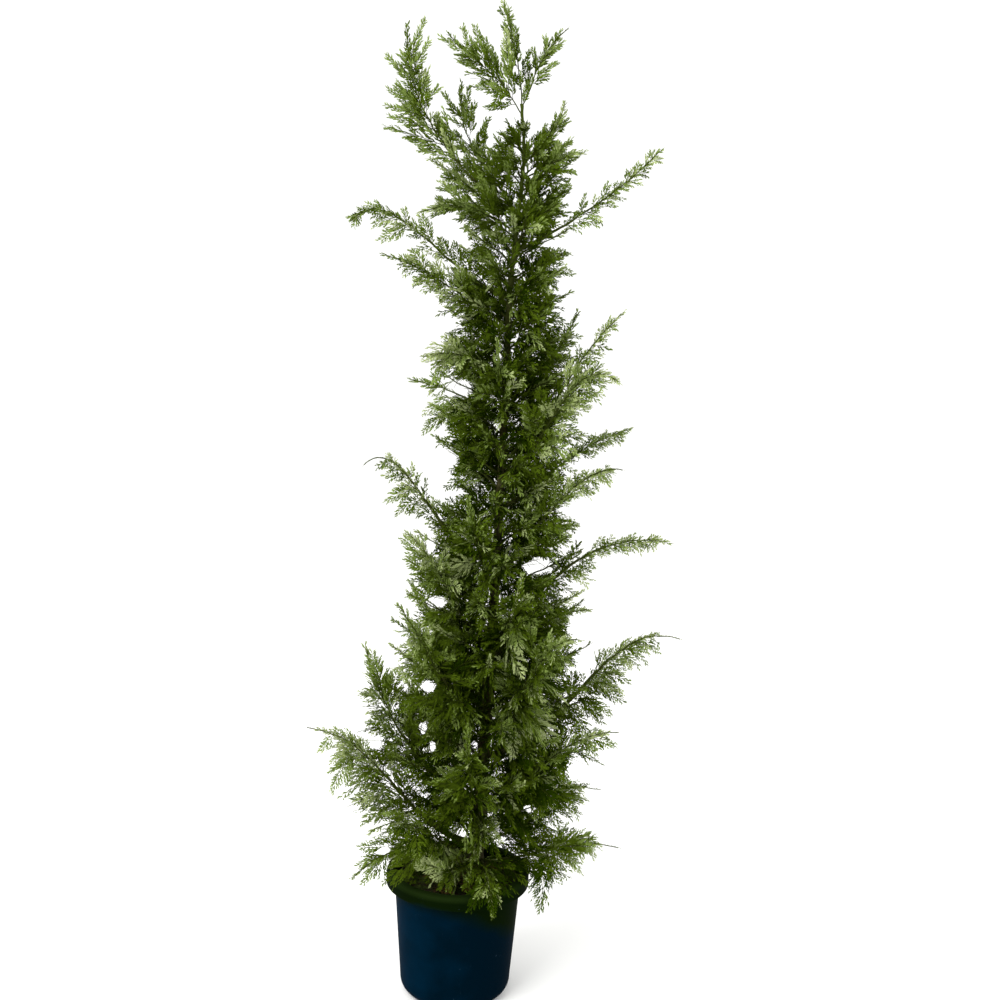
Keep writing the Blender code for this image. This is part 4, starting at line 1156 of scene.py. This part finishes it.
def fill_shoots():
    """Shoots to the front and the back, evenly up the trunk and shorter towards the top."""
    made = []
    for i in range(FILL_SHOOTS):
        share = i / (FILL_SHOOTS - 1)
        height = FILL_FOOT + share * (FILL_TOP - FILL_FOOT)
        reach = FILL_REACH_AT_FOOT + share * (FILL_REACH_AT_TOP - FILL_REACH_AT_FOOT)
        azimuth = FILL_SIDES[i % len(FILL_SIDES)]
        side = "front" if azimuth < 0 else "back"
        tip = height + FILL_CLIMB * reach
        spread = FILL_SPREAD * (1 - FILL_NARROWING * share)
        shape = (FILL_RISE, FILL_NOD, spread, 0, FILL_PLUME, FILL_FAN)
        made.append(Shoot(f"fill_{side}_{i}", height, azimuth, reach, tip, *shape))
    return made


def inner_shoots(count):
    """Short shoots at even heights round the trunk, each a share of the crown's radius long."""
    made = []
    for i in range(count):
        height = INNER_FOOT + i / max(1, count - 1) * (INNER_TOP - INNER_FOOT)
        reach = INNER_REACH * radius_at(height, CROWN_RADII)
        spread = INNER_SPREAD * min(1, INNER_LEAST_SPREAD + INNER_WIDENING * reach)
        azimuth = (GOLDEN_TURN * i) % 360
        tip = height + INNER_CLIMB * reach
        made.append(Shoot(f"inner_{i}", height, azimuth, reach, tip, INNER_RISE, INNER_NOD, spread, 0, 0))
    return made


def all_shoots(inner_count):
    """The shoots of the outline with those that fill the front and the back, and the short inner ones."""
    return list(OUTLINE_SHOOTS) + fill_shoots(), inner_shoots(inner_count)


def heading(azimuth, slope):
    """Unit vector for an azimuth and a slope above level, in degrees."""
    a, s = math.radians(azimuth), math.radians(slope)
    return np.array((math.cos(a) * math.cos(s), math.sin(a) * math.cos(s), math.sin(s)))


class Path:
    """A shoot's curved middle line, from the trunk's surface to its tip."""

    def __init__(self, shoot):
        out = heading(shoot.azimuth, 0)
        middle = np.array(trunk_centre(shoot.height))
        leads = shoot.rise >= LEADER_RISE
        self.cap = UP if leads else out
        self.start = middle if leads else middle + out * trunk_radius(shoot.height)
        self.end = middle + out * shoot.reach
        self.end[2] = shoot.tip
        chord = np.linalg.norm(self.end - self.start) * HANDLE
        self.near = self.start + heading(shoot.azimuth, shoot.rise) * chord
        self.far = self.end - heading(shoot.azimuth, shoot.nod) * chord
        line = self.at(np.linspace(0, 1, LENGTH_POINTS))
        self.length = np.linalg.norm(np.diff(line, axis=0), axis=1).sum()
        most = LIMB_LARGEST * trunk_radius(shoot.height)
        self.foot = min(LIMB_RADIUS + LIMB_RADIUS_PER_METRE * self.length, most)
        self.stem_end = 1 - END_TWIG * shoot.spread / self.length

    def at(self, t):
        """The points at some shares of its length."""
        t = np.asarray(t, float)[..., None]
        u = 1 - t
        return self.start * u**3 + self.near * 3 * u**2 * t + self.far * 3 * u * t**2 + self.end * t**3

    def tangent(self, t):
        """Which way it runs there."""
        u = 1 - t
        run = (self.near - self.start) * u**2 + (self.far - self.near) * 2 * u * t
        return unit(run + (self.end - self.far) * t**2)

    def radius(self, t):
        """Its radius there as a limb."""
        return TIP_RADIUS + (self.foot - TIP_RADIUS) * (1 - t) ** LIMB_TAPER

    def stem_radius(self, t, limb):
        """The stem is slimmer than the model's: it leaves its limb at full size and thins faster."""
        share = (1 - t) / (1 - limb)
        foot = self.radius(limb) if limb else STEM_FOOT * self.foot
        return TIP_RADIUS + (foot - TIP_RADIUS) * share**STEM_TAPER


def youth(shoot):
    """From 0 for the shoots of the older crown to 1 for the youngest, at the top."""
    return min(1, max(0, (shoot.height - YOUNG_FROM) / YOUNG_SPAN))


def outline(share, shape):
    """How long a side shoot is at a share of its stem or spray, for a longest one of 1."""
    foot, rise, drop, bend = shape
    beyond = np.maximum(share - WIDEST, 0) / (1 - WIDEST)
    return np.where(share < WIDEST, foot + rise * share, 1 - drop * beyond**bend)


def fall(shoot):
    """How far a shoot's twigs hang: 1 in the lower crown, and little at the top."""
    return min(1, max(HANG_LEAST, (HANG_TOP - shoot.height) / HANG_SPAN))


def twig_plan(shoot, path):
    """Each twig of a mass by its seeded rule: (share of the stem, roll about it, angle, length, twist)."""
    chance = random.Random(shoot.name)
    start = shoot.limb + TWIG_START
    step = max(TWIG_LEAST_STEP, TWIG_STEP * shoot.spread)
    count = max(FEWEST_TWIGS, round(path.length * (1 - shoot.limb) / step))
    plan = []
    for i in range(count):
        share = (i + 0.5) / count
        t = start + (path.stem_end - start) * share
        roll = GOLDEN_TURN * i + chance.uniform(*TWIG_ROLLS)
        angle = TWIG_ANGLE - YOUNG_CLOSER * youth(shoot) + chance.uniform(*TWIG_ANGLES)
        shorter = 1 - UPPER_SHORTER * fall(shoot) * max(0, math.sin(math.radians(roll)))
        length = shoot.spread * shorter * outline(share, TWIG_OUTLINE) * chance.uniform(*TWIG_LENGTHS)
        plan.append((t, roll, angle, max(length, SHORTEST_TWIG), chance.uniform(*TWIG_TWISTS)))
    return plan


def fine_plan(shoot, path, plan, spacing):
    """Finer twigs between those of the plan, each turned on from the one before by the golden turn."""
    chance = random.Random(shoot.name + " fine")
    step = (path.stem_end - shoot.limb) / len(plan)
    times = max(2, round(step * path.length / (spacing * (1 + YOUNG_SPARSER * youth(shoot)))))
    made = []
    for t, roll, angle, length, twist in plan:
        for k in range(1, times):
            size = length * chance.uniform(*FINE_LENGTHS)
            turn = roll + GOLDEN_TURN * k + chance.uniform(*FINE_ROLLS)
            place = min(t + step * (k / times), path.stem_end)
            lean = angle + chance.uniform(*FINE_ANGLES)
            made.append((place, turn, lean, size, twist + chance.uniform(*FINE_TWISTS)))
    return made


def turned_about(vector, axis, degrees):
    """A vector turned about an axis of length 1."""
    turn = math.radians(degrees)
    across = np.cross(axis, vector)
    return vector * math.cos(turn) + across * math.sin(turn) + axis * (axis @ vector) * (1 - math.cos(turn))


def twig_frame(shoot, path, t, roll, angle, twist):
    """Where a twig starts, which way it runs and the normal of its spray."""
    tangent = path.tangent(t)
    side = np.cross(tangent, UP)
    side = unit(side) if np.linalg.norm(side) > NEARLY_UPRIGHT else unit(np.cross(path.cap, tangent))
    lift = np.cross(side, tangent)
    turn, lean = math.radians(roll), math.radians(angle)
    outward = unit(side * math.cos(turn) + lift * math.sin(turn) * shoot.fan)
    hang = HANG * fall(shoot) * shoot.reach * DOWN
    along = unit(tangent * math.cos(lean) + outward * math.sin(lean) + hang)
    normal = turned_about(unit(np.cross(along, tangent)), along, twist)
    return path.at(t), along, normal


# Sprays


class Crown:
    """What has grown: the blades of the sprays with the tone of each, and the tubes of stems and rachises."""

    def __init__(self, branchlet_step, twiglet_step):
        self.branchlet_step = branchlet_step
        self.twiglet_step = twiglet_step
        self.blades = []
        self.tones = []
        self.stems = []

    def add(self, root, tip, half_width, normal, tones):
        """Blades from arrays: each a root, a tip, and a shoulder to both sides, folded along its midrib."""
        axis = tip - root
        wide = unit(np.cross(normal, axis)) * half_width[:, None]
        shoulder = root + BLADE_SHOULDER * axis - unit(normal) * (BLADE_FOLD * half_width)[:, None]
        self.blades.append(np.stack([root, shoulder - wide, tip, shoulder + wide], axis=1))
        self.tones.append(tones)


def tones_of(openness):
    """The places in TONES of some values of openness."""
    return np.searchsorted(TONE_LEVELS, openness)


def leaning(tangent, across, hand, tilt, angle):
    """Which way side shoots run: to one side of their stem, out of its plane by a tilt, at an angle to it."""
    outward = hand * across * np.cos(tilt) + np.cross(tangent, across) * np.sin(tilt)
    return unit(tangent * np.cos(angle) + outward * np.sin(angle))


def grow_spray(crown, chance, root, along, normal, length, habit, openness, dead=False):
    """One spray: a drooping rachis, branchlets to both sides of it, and twiglets along those."""
    sag = habit.droop * DOWN + chance.normal(0, SPRAY_SWAY) * unit(np.cross(normal, along))
    step = habit.step * crown.branchlet_step * (SMALL_SPRAY_CLOSER + length / SPRAY_LENGTH)
    count = max(FEWEST_BRANCHLETS, round(length / step))
    share = SPRAY_BARE + (1 - SPRAY_BARE) * (np.arange(count) + BRANCHLET_PLACE) / count
    s = share[:, None]
    reach = length * habit.width * outline(share, SPRAY_OUTLINE)
    centre = root + length * (s * along + s**2 * sag)
    grow_branchlets(crown, chance, centre, unit(along + 2 * s * sag), normal, reach, habit, openness, dead)
    knots = np.linspace(0, 1, len(RACHIS_TAPER))[:, None]
    line = root + length * (knots * along + knots**2 * sag)
    radii = (RACHIS_RADIUS + RACHIS_THICKENING * length) * np.array(RACHIS_TAPER)
    crown.stems.append(tube(line, radii, RACHIS_SIDES))


def grow_branchlets(crown, chance, centre, tangent, normal, reach, habit, openness, dead=False):
    """Branchlets to both sides of a line of points, with their twiglets."""
    count = len(centre)
    share = np.arange(count) / count
    across = unit(np.cross(normal, tangent))
    hand = np.where(np.arange(count) % 2, 1.0, -1.0)[:, None]
    most, less = BRANCHLET_ANGLES
    angle = math.radians(habit.angle) * (most - less * share) + chance.normal(0, BRANCHLET_SWING, count)
    tilt = chance.normal(0, habit.tilt, count)
    runs = leaning(tangent, across, hand, tilt[:, None], angle[:, None])
    reach = np.maximum(reach * chance.uniform(*BRANCHLET_LENGTHS, count), BRANCHLET_LEAST)
    curve = BRANCHLET_BEND * tangent + BRANCHLET_DROOP * habit.droop * DOWN
    faces = unit(np.cross(tangent, runs)) * hand
    if dead:
        value = np.full(count, DEAD_VALUE)
    else:
        value = openness + SPRAY_FADE * (share - 0.5) + chance.normal(0, SPRAY_MOTTLE, count)
    reach = short_of_gaps(centre, runs, curve, reach, chance.uniform(*GAP_EDGE))
    kept = reach > 0
    if not kept.any():
        return
    centre, runs, curve, reach = centre[kept], runs[kept], curve[kept], reach[kept]
    faces, value = faces[kept], value[kept]
    ends = centre + reach[:, None] * (runs + curve)
    crown.add(centre, ends, np.full(len(reach), BRANCHLET_HALF_WIDTH), faces, tones_of(value))
    grow_twiglets(crown, chance, centre, runs, curve, reach, habit, faces, value)


def grow_twiglets(crown, chance, root, runs, curve, reach, habit, faces, value):
    """The twiglets along some branchlets, to both sides and then one on the end of each."""
    each = np.maximum(FEWEST_TWIGLETS, np.round(reach / crown.twiglet_step)).astype(int)
    of = np.repeat(np.arange(len(reach)), each)
    nth = np.arange(each.sum()) - np.repeat(np.cumsum(each) - each, each)
    share = (nth + TWIGLET_PLACE) / each[of]
    s = share[:, None]
    base = root[of] + reach[of][:, None] * (s * runs[of] + s**2 * curve[of])
    tangent = unit(runs[of] + 2 * s * curve[of])
    across = unit(np.cross(faces[of], tangent))
    hand = np.where(nth % 2, 1.0, -1.0)[:, None]
    most, less = TWIGLET_ANGLES
    angle = math.radians(habit.leaf_angle) * (most - less * share) + chance.normal(0, TWIGLET_SWING, len(of))
    angle = np.where(nth == each[of] - 1, TWIGLET_END_ANGLE, angle)
    tilt = chance.normal(0, TWIGLET_TILT, len(of))
    way = leaning(tangent, across, hand, tilt[:, None], angle[:, None])
    longest = habit.leaf_length + TWIGLET_LENGTHENING * reach[of]
    shape = TWIGLET_LEAST + (1 - TWIGLET_LEAST) * outline(share, SPRAY_OUTLINE)
    size = longest * shape * chance.uniform(*TWIGLET_LENGTHS, len(of))
    twist = TWIGLET_TWIST * chance.normal(0, 1, (len(of), 1))
    normal = unit(np.cross(tangent, across) + twist * across)
    half_width = TWIGLET_HALF_WIDTH + TWIGLET_WIDENING * size
    tones = tones_of(value[of] + TIPS_LIGHTER * (share - TIPS_FROM))
    tips = base + way * size[:, None]
    kept = ~in_gap(tips, chance.uniform(*GAP_EDGE, len(tips)))
    crown.add(base[kept], tips[kept], half_width[kept], normal[kept], tones[kept])


def openness_at(point, chance):
    """The openness of a spray at a point of the crown, with what chance does to it."""
    trunk = trunk_centre(min(max(point[2], TRUNK_LINE[0].z), TRUNK_LINE[-1].z))
    out = math.hypot(point[0] - trunk.x, point[1] - trunk.y)
    value = min(MOST_OPEN, out / radius_at(point[2], LIT_RADII)) + chance.normal(0, OPEN_SPREAD)
    return value + (FRESH if chance.random() < FRESH_SHARE else 0)


def near_wall(points, room):
    """Which points come nearer to the pot's wall than the room above it, inside it and outside it."""
    above, inside, outside = room
    radius = np.hypot(points[..., 0], points[..., 1])
    low = points[..., 2] < POT_HEIGHT + above
    return low & (radius > inner_radius(POT_HEIGHT) - inside) & (radius < RIM_RADIUS + outside)


def lifted_off_pot(root, along, length):
    """A spray's heading, raised until the spray passes over the pot's rim or hangs outside it."""
    for _ in range(LIFT_TRIES):
        line = root + length * np.linspace(LIFT_FROM, 1, LIFT_POINTS)[:, None] * along
        if not near_wall(line, SPRAY_ROOM).any():
            break
        along = unit(along + LIFT_STEP * UP)
    return along


def clear_of_pot(blades):
    """Which blades touch neither the pot nor the compost."""
    radius = np.hypot(blades[..., 0], blades[..., 1])
    in_soil = (blades[..., 2] < SOIL_LEVEL - SOIL_RELIEF) & (radius < RIM_RADIUS)
    return ~(near_wall(blades, BLADE_ROOM) | in_soil).any(axis=1)


def in_gap(points, size):
    """Which points lie in one of the gaps in the crown, as seen from the front, for a gap's size of 1."""
    nearer = EYE[1] / (EYE[1] - points[..., 1])
    x = EYE[0] + (points[..., 0] - EYE[0]) * nearer
    z = EYE[2] + (points[..., 2] - EYE[2]) * nearer
    inside = np.zeros(x.shape, bool)
    for middle_x, middle_z, half_width, half_height in SKY_GAPS:
        inside |= np.hypot((x - middle_x) / half_width, (z - middle_z) / half_height) < size
    return inside


def short_of_gaps(roots, runs, curve, reach, size):
    """How far some twigs may reach until they would grow into a gap; 0 for one that starts in it."""
    step = 1 / GAP_STEPS
    shares = np.linspace(step, 1, GAP_STEPS)
    s = shares[:, None]
    lines = roots[:, None] + reach[:, None, None] * (s * runs[:, None] + s**2 * curve[:, None])
    hits = in_gap(lines, size)
    return reach * np.where(hits.any(axis=1), shares[hits.argmax(axis=1)] - step, 1)


def grow_shoot(crown, shoot, spacing):
    """A shoot's stem, its sprays by the model's rule, the finer ones between them, and its whip."""
    path = Path(shoot)
    chance = np.random.default_rng(zlib.crc32(shoot.name.encode()))
    plan = twig_plan(shoot, path)
    young = youth(shoot)
    habits = (YOUNG_HABIT, YOUNG_HABIT) if young > YOUNG_ENOUGH else (OUTER_HABIT, FINE_HABIT)
    twigs = [(twig, habits[0]) for twig in plan]
    twigs += [(twig, habits[1]) for twig in fine_plan(shoot, path, plan, spacing)]
    whip_start = 1 - WHIPS.get(shoot.name, 0) / path.length
    straight = np.zeros((1, 3))
    for (t, roll, angle, length, twist), habit in twigs:
        if t > whip_start:
            continue
        root, along, normal = twig_frame(shoot, path, t, roll, angle, twist)
        along = lifted_off_pot(root, along, length)
        edge = chance.uniform(*GAP_EDGE)
        length = short_of_gaps(root[None], along[None], straight, np.array([length]), edge)[0]
        if length < SHORTEST_SPRAY:
            continue
        openness = openness_at(root + LIGHT_TAKEN_AT * length * along, chance)
        openness += SHEEN_SHOOTS.get(shoot.name, 0)
        openness += YOUNG_EVEN * young * (YOUNG_TONE - openness)
        grow_spray(crown, chance, root, along, normal, length, habit, openness)
    widest = (PLUME_LEAST + shoot.plume) * (LONG_PLUME if "long" in shoot.name else 1)
    grow_plume(crown, chance, path, widest, whip_start)
    clothe_stem(crown, chance, path, whip_start)
    crown.stems.append(stem_tube(chance, shoot, path))


def grow_large_sprays(crown, shoots):
    """The sprays that stand out one by one, with their flat side towards the front."""
    chance = np.random.default_rng(zlib.crc32(b"large sprays"))
    named = {shoot.name: shoot for shoot in shoots}
    paths = {shoot.name: Path(shoot) for shoot in shoots}
    for name, t, reach, openness in LARGE_SPRAYS:
        length = np.linalg.norm(reach)
        along = np.array(reach) / length
        normal = unit(np.cross(np.cross(along, FACING), along))
        habit = LARGE_YOUNG_HABIT if youth(named[name]) > YOUNG_ENOUGH else LARGE_HABIT
        grow_spray(crown, chance, paths[name].at(t), along, normal, length, habit, openness)


def grow_plume(crown, chance, path, widest, end):
    """The end of a shoot: branchlets all round the stem itself, shorter and shorter to its tip."""
    start = max(PLUME_START, end - PLUME_LENGTH / path.length)
    count = max(FEWEST_IN_PLUME, round((end - start) * path.length / PLUME_STEP))
    share = np.arange(count) / count
    t = start + (end - start) * share
    reach = PLUME_TIP_REACH + (widest - PLUME_TIP_REACH) * outline(share, SPRAY_OUTLINE)
    tangent = path.tangent(t[:, None])
    turns = (np.arange(count) * math.radians(GOLDEN_TURN / 2))[:, None]
    side = unit(np.cross(tangent, PLUME_UP))
    normal = side * np.cos(turns) + np.cross(side, tangent) * np.sin(turns)
    openness = openness_at(path.end, chance)
    grow_branchlets(crown, chance, path.at(t), tangent, normal, reach, PLUME_HABIT, openness)


def clothe_stem(crown, chance, path, whip_start):
    """Scale-leaved twiglets straight on the stem in its outer half, and small ones on its whip."""
    start, end = STEM_SCALE_SPAN
    count = round(path.length * (1 - start) / STEM_SCALE_STEP)
    share = np.linspace(start, end, count)
    roots = path.at(share)
    tangent = path.tangent(share[:, None])
    side = unit(np.cross(tangent, SCALES_UP))
    turns = (np.arange(count) * math.radians(GOLDEN_TURN))[:, None]
    outward = side * np.cos(turns) + np.cross(side, tangent) * np.sin(turns)
    most, less = STEM_SCALE_LEAN
    way = unit(tangent + (most - less * share[:, None]) * outward)
    on_stem, on_whip = chance.uniform(*STEM_SCALES, count), chance.uniform(*WHIP_SCALES, count)
    size = np.where(share < whip_start, on_stem, on_whip)
    openness = openness_at(path.end, chance)
    tones = tones_of(openness + chance.normal(0, STEM_MOTTLE, count))
    half_width = TWIGLET_HALF_WIDTH + TWIGLET_WIDENING * size
    crown.add(roots, roots + way * size[:, None], half_width, np.cross(way, side), tones)


def stem_tube(chance, shoot, path):
    """The stem of a mass, from the limb or the trunk to the tip, slightly uneven."""
    start = shoot.limb
    count = max(FEWEST_RINGS, round(path.length * (1 - start) / STEM_RING_STEP))
    shares = np.linspace(start, STEM_END, count)
    line = path.at(shares)
    stray = chance.normal(0, STEM_WAVER, line.shape)
    stray[1:-1] = (stray[:-2] + stray[1:-1] + stray[2:]) / 3
    line[1:-1] += stray[1:-1]
    if start == 0:
        line[0] -= path.cap * path.radius(0)
    return tube(line, [path.stem_radius(t, start) for t in shares], STEM_SIDES)


def lay_fallen_sprays(crown):
    """Dead sprays that have dropped on the compost, some brown and some still green."""
    draw = random.Random("fallen sprays")
    chance = np.random.default_rng(zlib.crc32(b"fallen sprays"))
    for _ in range(FALLEN_SPRAYS):
        x, y = on_compost(draw, FALLEN_INSET)
        turn, slope = draw.uniform(0, 2 * math.pi), draw.uniform(*FALLEN_SLOPES)
        along = unit(np.array((math.cos(turn), math.sin(turn), slope)))
        tilts = [draw.uniform(-FALLEN_TILT, FALLEN_TILT) for _ in range(2)]
        normal = unit(np.array((*tilts, 1.0)))
        root = np.array((x, y, compost_height(x, y) + FALLEN_LIFT))
        length = draw.uniform(*FALLEN_LENGTHS)
        dead = draw.random() < FALLEN_DEAD
        openness = draw.uniform(*FALLEN_OPENNESS)
        grow_spray(crown, chance, root, along, normal, length, FALLEN_HABIT, openness, dead)


@functools.cache
def grown_crown(branchlet_step, twiglet_step, spacing, inner_count):
    """The whole crown, which the stems and the sprays are both made from. No inner shoot ends in a gap."""
    crown = Crown(branchlet_step, twiglet_step)
    outer, inner = all_shoots(inner_count)
    inner = [shoot for shoot in inner if not in_gap(Path(shoot).end, 1)]
    for shoot in outer + inner:
        grow_shoot(crown, shoot, spacing)
    grow_large_sprays(crown, outer)
    lay_fallen_sprays(crown)
    return crown


def crown_from(settings):
    """The crown that some settings give."""
    steps = settings.branchlet_step, settings.twiglet_step, settings.spray_spacing
    return grown_crown(*steps, settings.inner_shoots)


def spray_piece(name, blades, finish):
    """An object of two triangles for each blade."""
    first = 4 * np.arange(len(blades))[:, None]
    faces = np.concatenate([first + (0, 1, 2), first + (0, 2, 3)])
    return mesh_object(name, blades.reshape(-1, 3), faces, finish, smooth=False)


# Operators


class CYPRESS_OT_pot(bpy.types.Operator):
    """Turn the pot with its lip and drill its drain holes"""

    bl_idname = "cypress.pot"
    bl_label = "Pot"

    def execute(self, context):
        settings = context.scene.cypress_pot
        finish = moulded_polypropylene(settings)
        pot = object_of("pot_moulded", turned(pot_section(settings), POT_SIDES), finish)
        drill(pot, finish)
        pot.data.shade_smooth()
        pot.data.set_sharp_from_angle(angle=math.radians(POT_CREASE))
        stand_in(pot, "pot_plastic", "pot")
        return {"FINISHED"}


class CYPRESS_OT_compost(bpy.types.Operator):
    """Fill the pot with compost, its crumbs and its root hairs"""

    bl_idname = "cypress.compost"
    bl_label = "Compost"

    def execute(self, context):
        finish = peat_compost(context.scene.cypress_pot)
        stand_in(compost_body(finish), "peat_compost", "soil")
        stand_in(compost_crumbs(finish), "peat_compost", "soil")
        hairs = green_shoot_bark(context.scene.cypress_crown)
        hairs.name = "dry_root_fibre"
        stand_in(root_hairs(hairs), "cypress_bark", "soil")
        return {"FINISHED"}


class CYPRESS_OT_bark(bpy.types.Operator):
    """Grow the trunk and the bare limbs with the relief of their bark"""

    bl_idname = "cypress.bark"
    bl_label = "Trunk and limbs"

    def execute(self, context):
        settings = context.scene.cypress_crown
        finish = cypress_periderm(settings)
        outer, inner = all_shoots(settings.inner_shoots)
        trunk = welded(mesh_object("trunk_bark", *trunk_body(outer + inner), finish, smooth=True))
        stand_in(trunk, "cypress_bark", "trunk")
        limbs = [limb_body(shoot, Path(shoot)) for shoot in outer if shoot.limb]
        limbs = welded(mesh_object("limb_bark", *joined(limbs), finish, smooth=True))
        stand_in(limbs, "cypress_bark", *LIMBS)
        return {"FINISHED"}


class CYPRESS_OT_stems(bpy.types.Operator):
    """Grow the stems of the shoots and the rachises of their sprays"""

    bl_idname = "cypress.stems"
    bl_label = "Stems"

    def execute(self, context):
        settings = context.scene.cypress_crown
        points, faces = joined(crown_from(settings).stems)
        stems = welded(mesh_object("green_stems", points, faces, green_shoot_bark(settings), smooth=True))
        stand_in(stems, "cypress_bark", *MASSES)
        return {"FINISHED"}


class CYPRESS_OT_sprays(bpy.types.Operator):
    """Grow the sprays of scale leaves, one tone of green after another"""

    bl_idname = "cypress.sprays"
    bl_label = "Sprays"

    def execute(self, context):
        settings = context.scene.cypress_crown
        crown = crown_from(settings)
        blades, tones = np.concatenate(crown.blades), np.concatenate(crown.tones)
        keep = clear_of_pot(blades)
        blades, tones = blades[keep], tones[keep]
        # one copy of the wax for each green; the darker and lighter copies are partly painted shade and light
        for i, tone in enumerate(TONES):
            finish = scale_leaf_wax(tone, getattr(settings, tone))
            own = blades[tones == i]
            pieces = max(1, math.ceil(2 * len(own) / MOST_TRIANGLES))
            for k, part in enumerate(np.array_split(own, pieces)):
                piece = spray_piece(f"sprays_{tone}_{k + 1}", part, finish)
                stand_in(piece, "cypress_foliage", *MASSES)
        return {"FINISHED"}


class CYPRESS_OT_stage(bpy.types.Operator):
    """Set the floor, the light and the camera"""

    bl_idname = "cypress.stage"
    bl_label = "Stage"

    def execute(self, context):
        settings = context.scene.cypress_stage
        bm = bmesh.new()
        bmesh.ops.create_circle(bm, cap_ends=True, segments=FLOOR_SIDES, radius=FLOOR_RADIUS)
        floor = object_of("floor", bm, matt_paper(settings))
        set_light(context.scene, settings)
        set_camera(context.scene, settings)
        return {"FINISHED"}


def softbox(name, place, size, power):
    """A square softbox that faces the plant."""
    lamp = bpy.data.lights.new(name, "AREA")
    lamp.shape = "SQUARE"
    lamp.size = size
    lamp.energy = power
    box = bpy.data.objects.new(name, lamp)
    box.location = place
    box.rotation_euler = (Vector(LIGHT_AIM) - Vector(place)).to_track_quat("-Z", "Y").to_euler()
    bpy.context.scene.collection.objects.link(box)


def set_light(scene, settings):
    """Even white surroundings and two large softboxes, high at the left and lower at the right."""
    scene.view_settings.view_transform = "Standard"
    scene.view_settings.look = "None"
    world = bpy.data.worlds.new("white_surroundings")
    world.use_nodes = True
    sky = world.node_tree.nodes["Background"]
    sky.inputs["Color"].default_value = (1, 1, 1, 1)
    sky.inputs["Strength"].default_value = settings.sky_strength
    scene.world = world
    softbox("key_softbox", KEY_PLACE, KEY_SIZE, settings.key_power)
    softbox("fill_softbox", FILL_PLACE, FILL_SIZE, settings.fill_power)


def set_camera(scene, settings):
    """The photograph's view: from three quarters of the plant's height, slightly down, leaning a little."""
    pitch, roll = settings.pitch, settings.roll
    forward = Vector((0, math.cos(pitch), -math.sin(pitch)))
    level = Vector((1, 0, 0))
    upright = level.cross(forward)
    right = math.cos(roll) * level + math.sin(roll) * upright
    up = math.cos(roll) * upright - math.sin(roll) * level
    lens = bpy.data.cameras.new("camera")
    lens.sensor_width = SENSOR_WIDTH
    lens.lens = settings.lens
    lens.clip_end = FARTHEST
    camera = bpy.data.objects.new("camera", lens)
    pose = Matrix((right, up, -forward)).transposed().to_4x4()
    pose.translation = Vector(EYE)
    camera.matrix_world = pose
    scene.collection.objects.link(camera)
    scene.camera = camera


# Add-on


class CYPRESS_PT_panel(bpy.types.Panel):
    """The cypress's settings and the steps that build it"""

    bl_idname = "CYPRESS_PT_panel"
    bl_label = "Potted Leyland Cypress"
    bl_space_type = "VIEW_3D"
    bl_region_type = "UI"
    bl_category = "Cypress"

    def draw(self, context):
        for group in ("cypress_pot", "cypress_crown", "cypress_stage"):
            box = self.layout.box()
            settings = getattr(context.scene, group)
            for name in settings.__annotations__:
                box.prop(settings, name)
        for step in STEPS:
            self.layout.operator(step.bl_idname)


GROUPS = {
    "cypress_pot": CypressPotSettings,
    "cypress_crown": CypressCrownSettings,
    "cypress_stage": CypressStageSettings,
}
STEPS = (
    CYPRESS_OT_pot,
    CYPRESS_OT_compost,
    CYPRESS_OT_bark,
    CYPRESS_OT_stems,
    CYPRESS_OT_sprays,
    CYPRESS_OT_stage,
)


def register():
    for made in (*GROUPS.values(), *STEPS, CYPRESS_PT_panel):
        bpy.utils.register_class(made)
    for name, group in GROUPS.items():
        setattr(bpy.types.Scene, name, PointerProperty(type=group))


def unregister():
    for name in GROUPS:
        delattr(bpy.types.Scene, name)
    for made in reversed((*GROUPS.values(), *STEPS, CYPRESS_PT_panel)):
        bpy.utils.unregister_class(made)


def main():
    register()
    for step in STEPS:
        group, name = step.bl_idname.split(".")
        getattr(getattr(bpy.ops, group), name)()


if __name__ == "__main__":
    main()
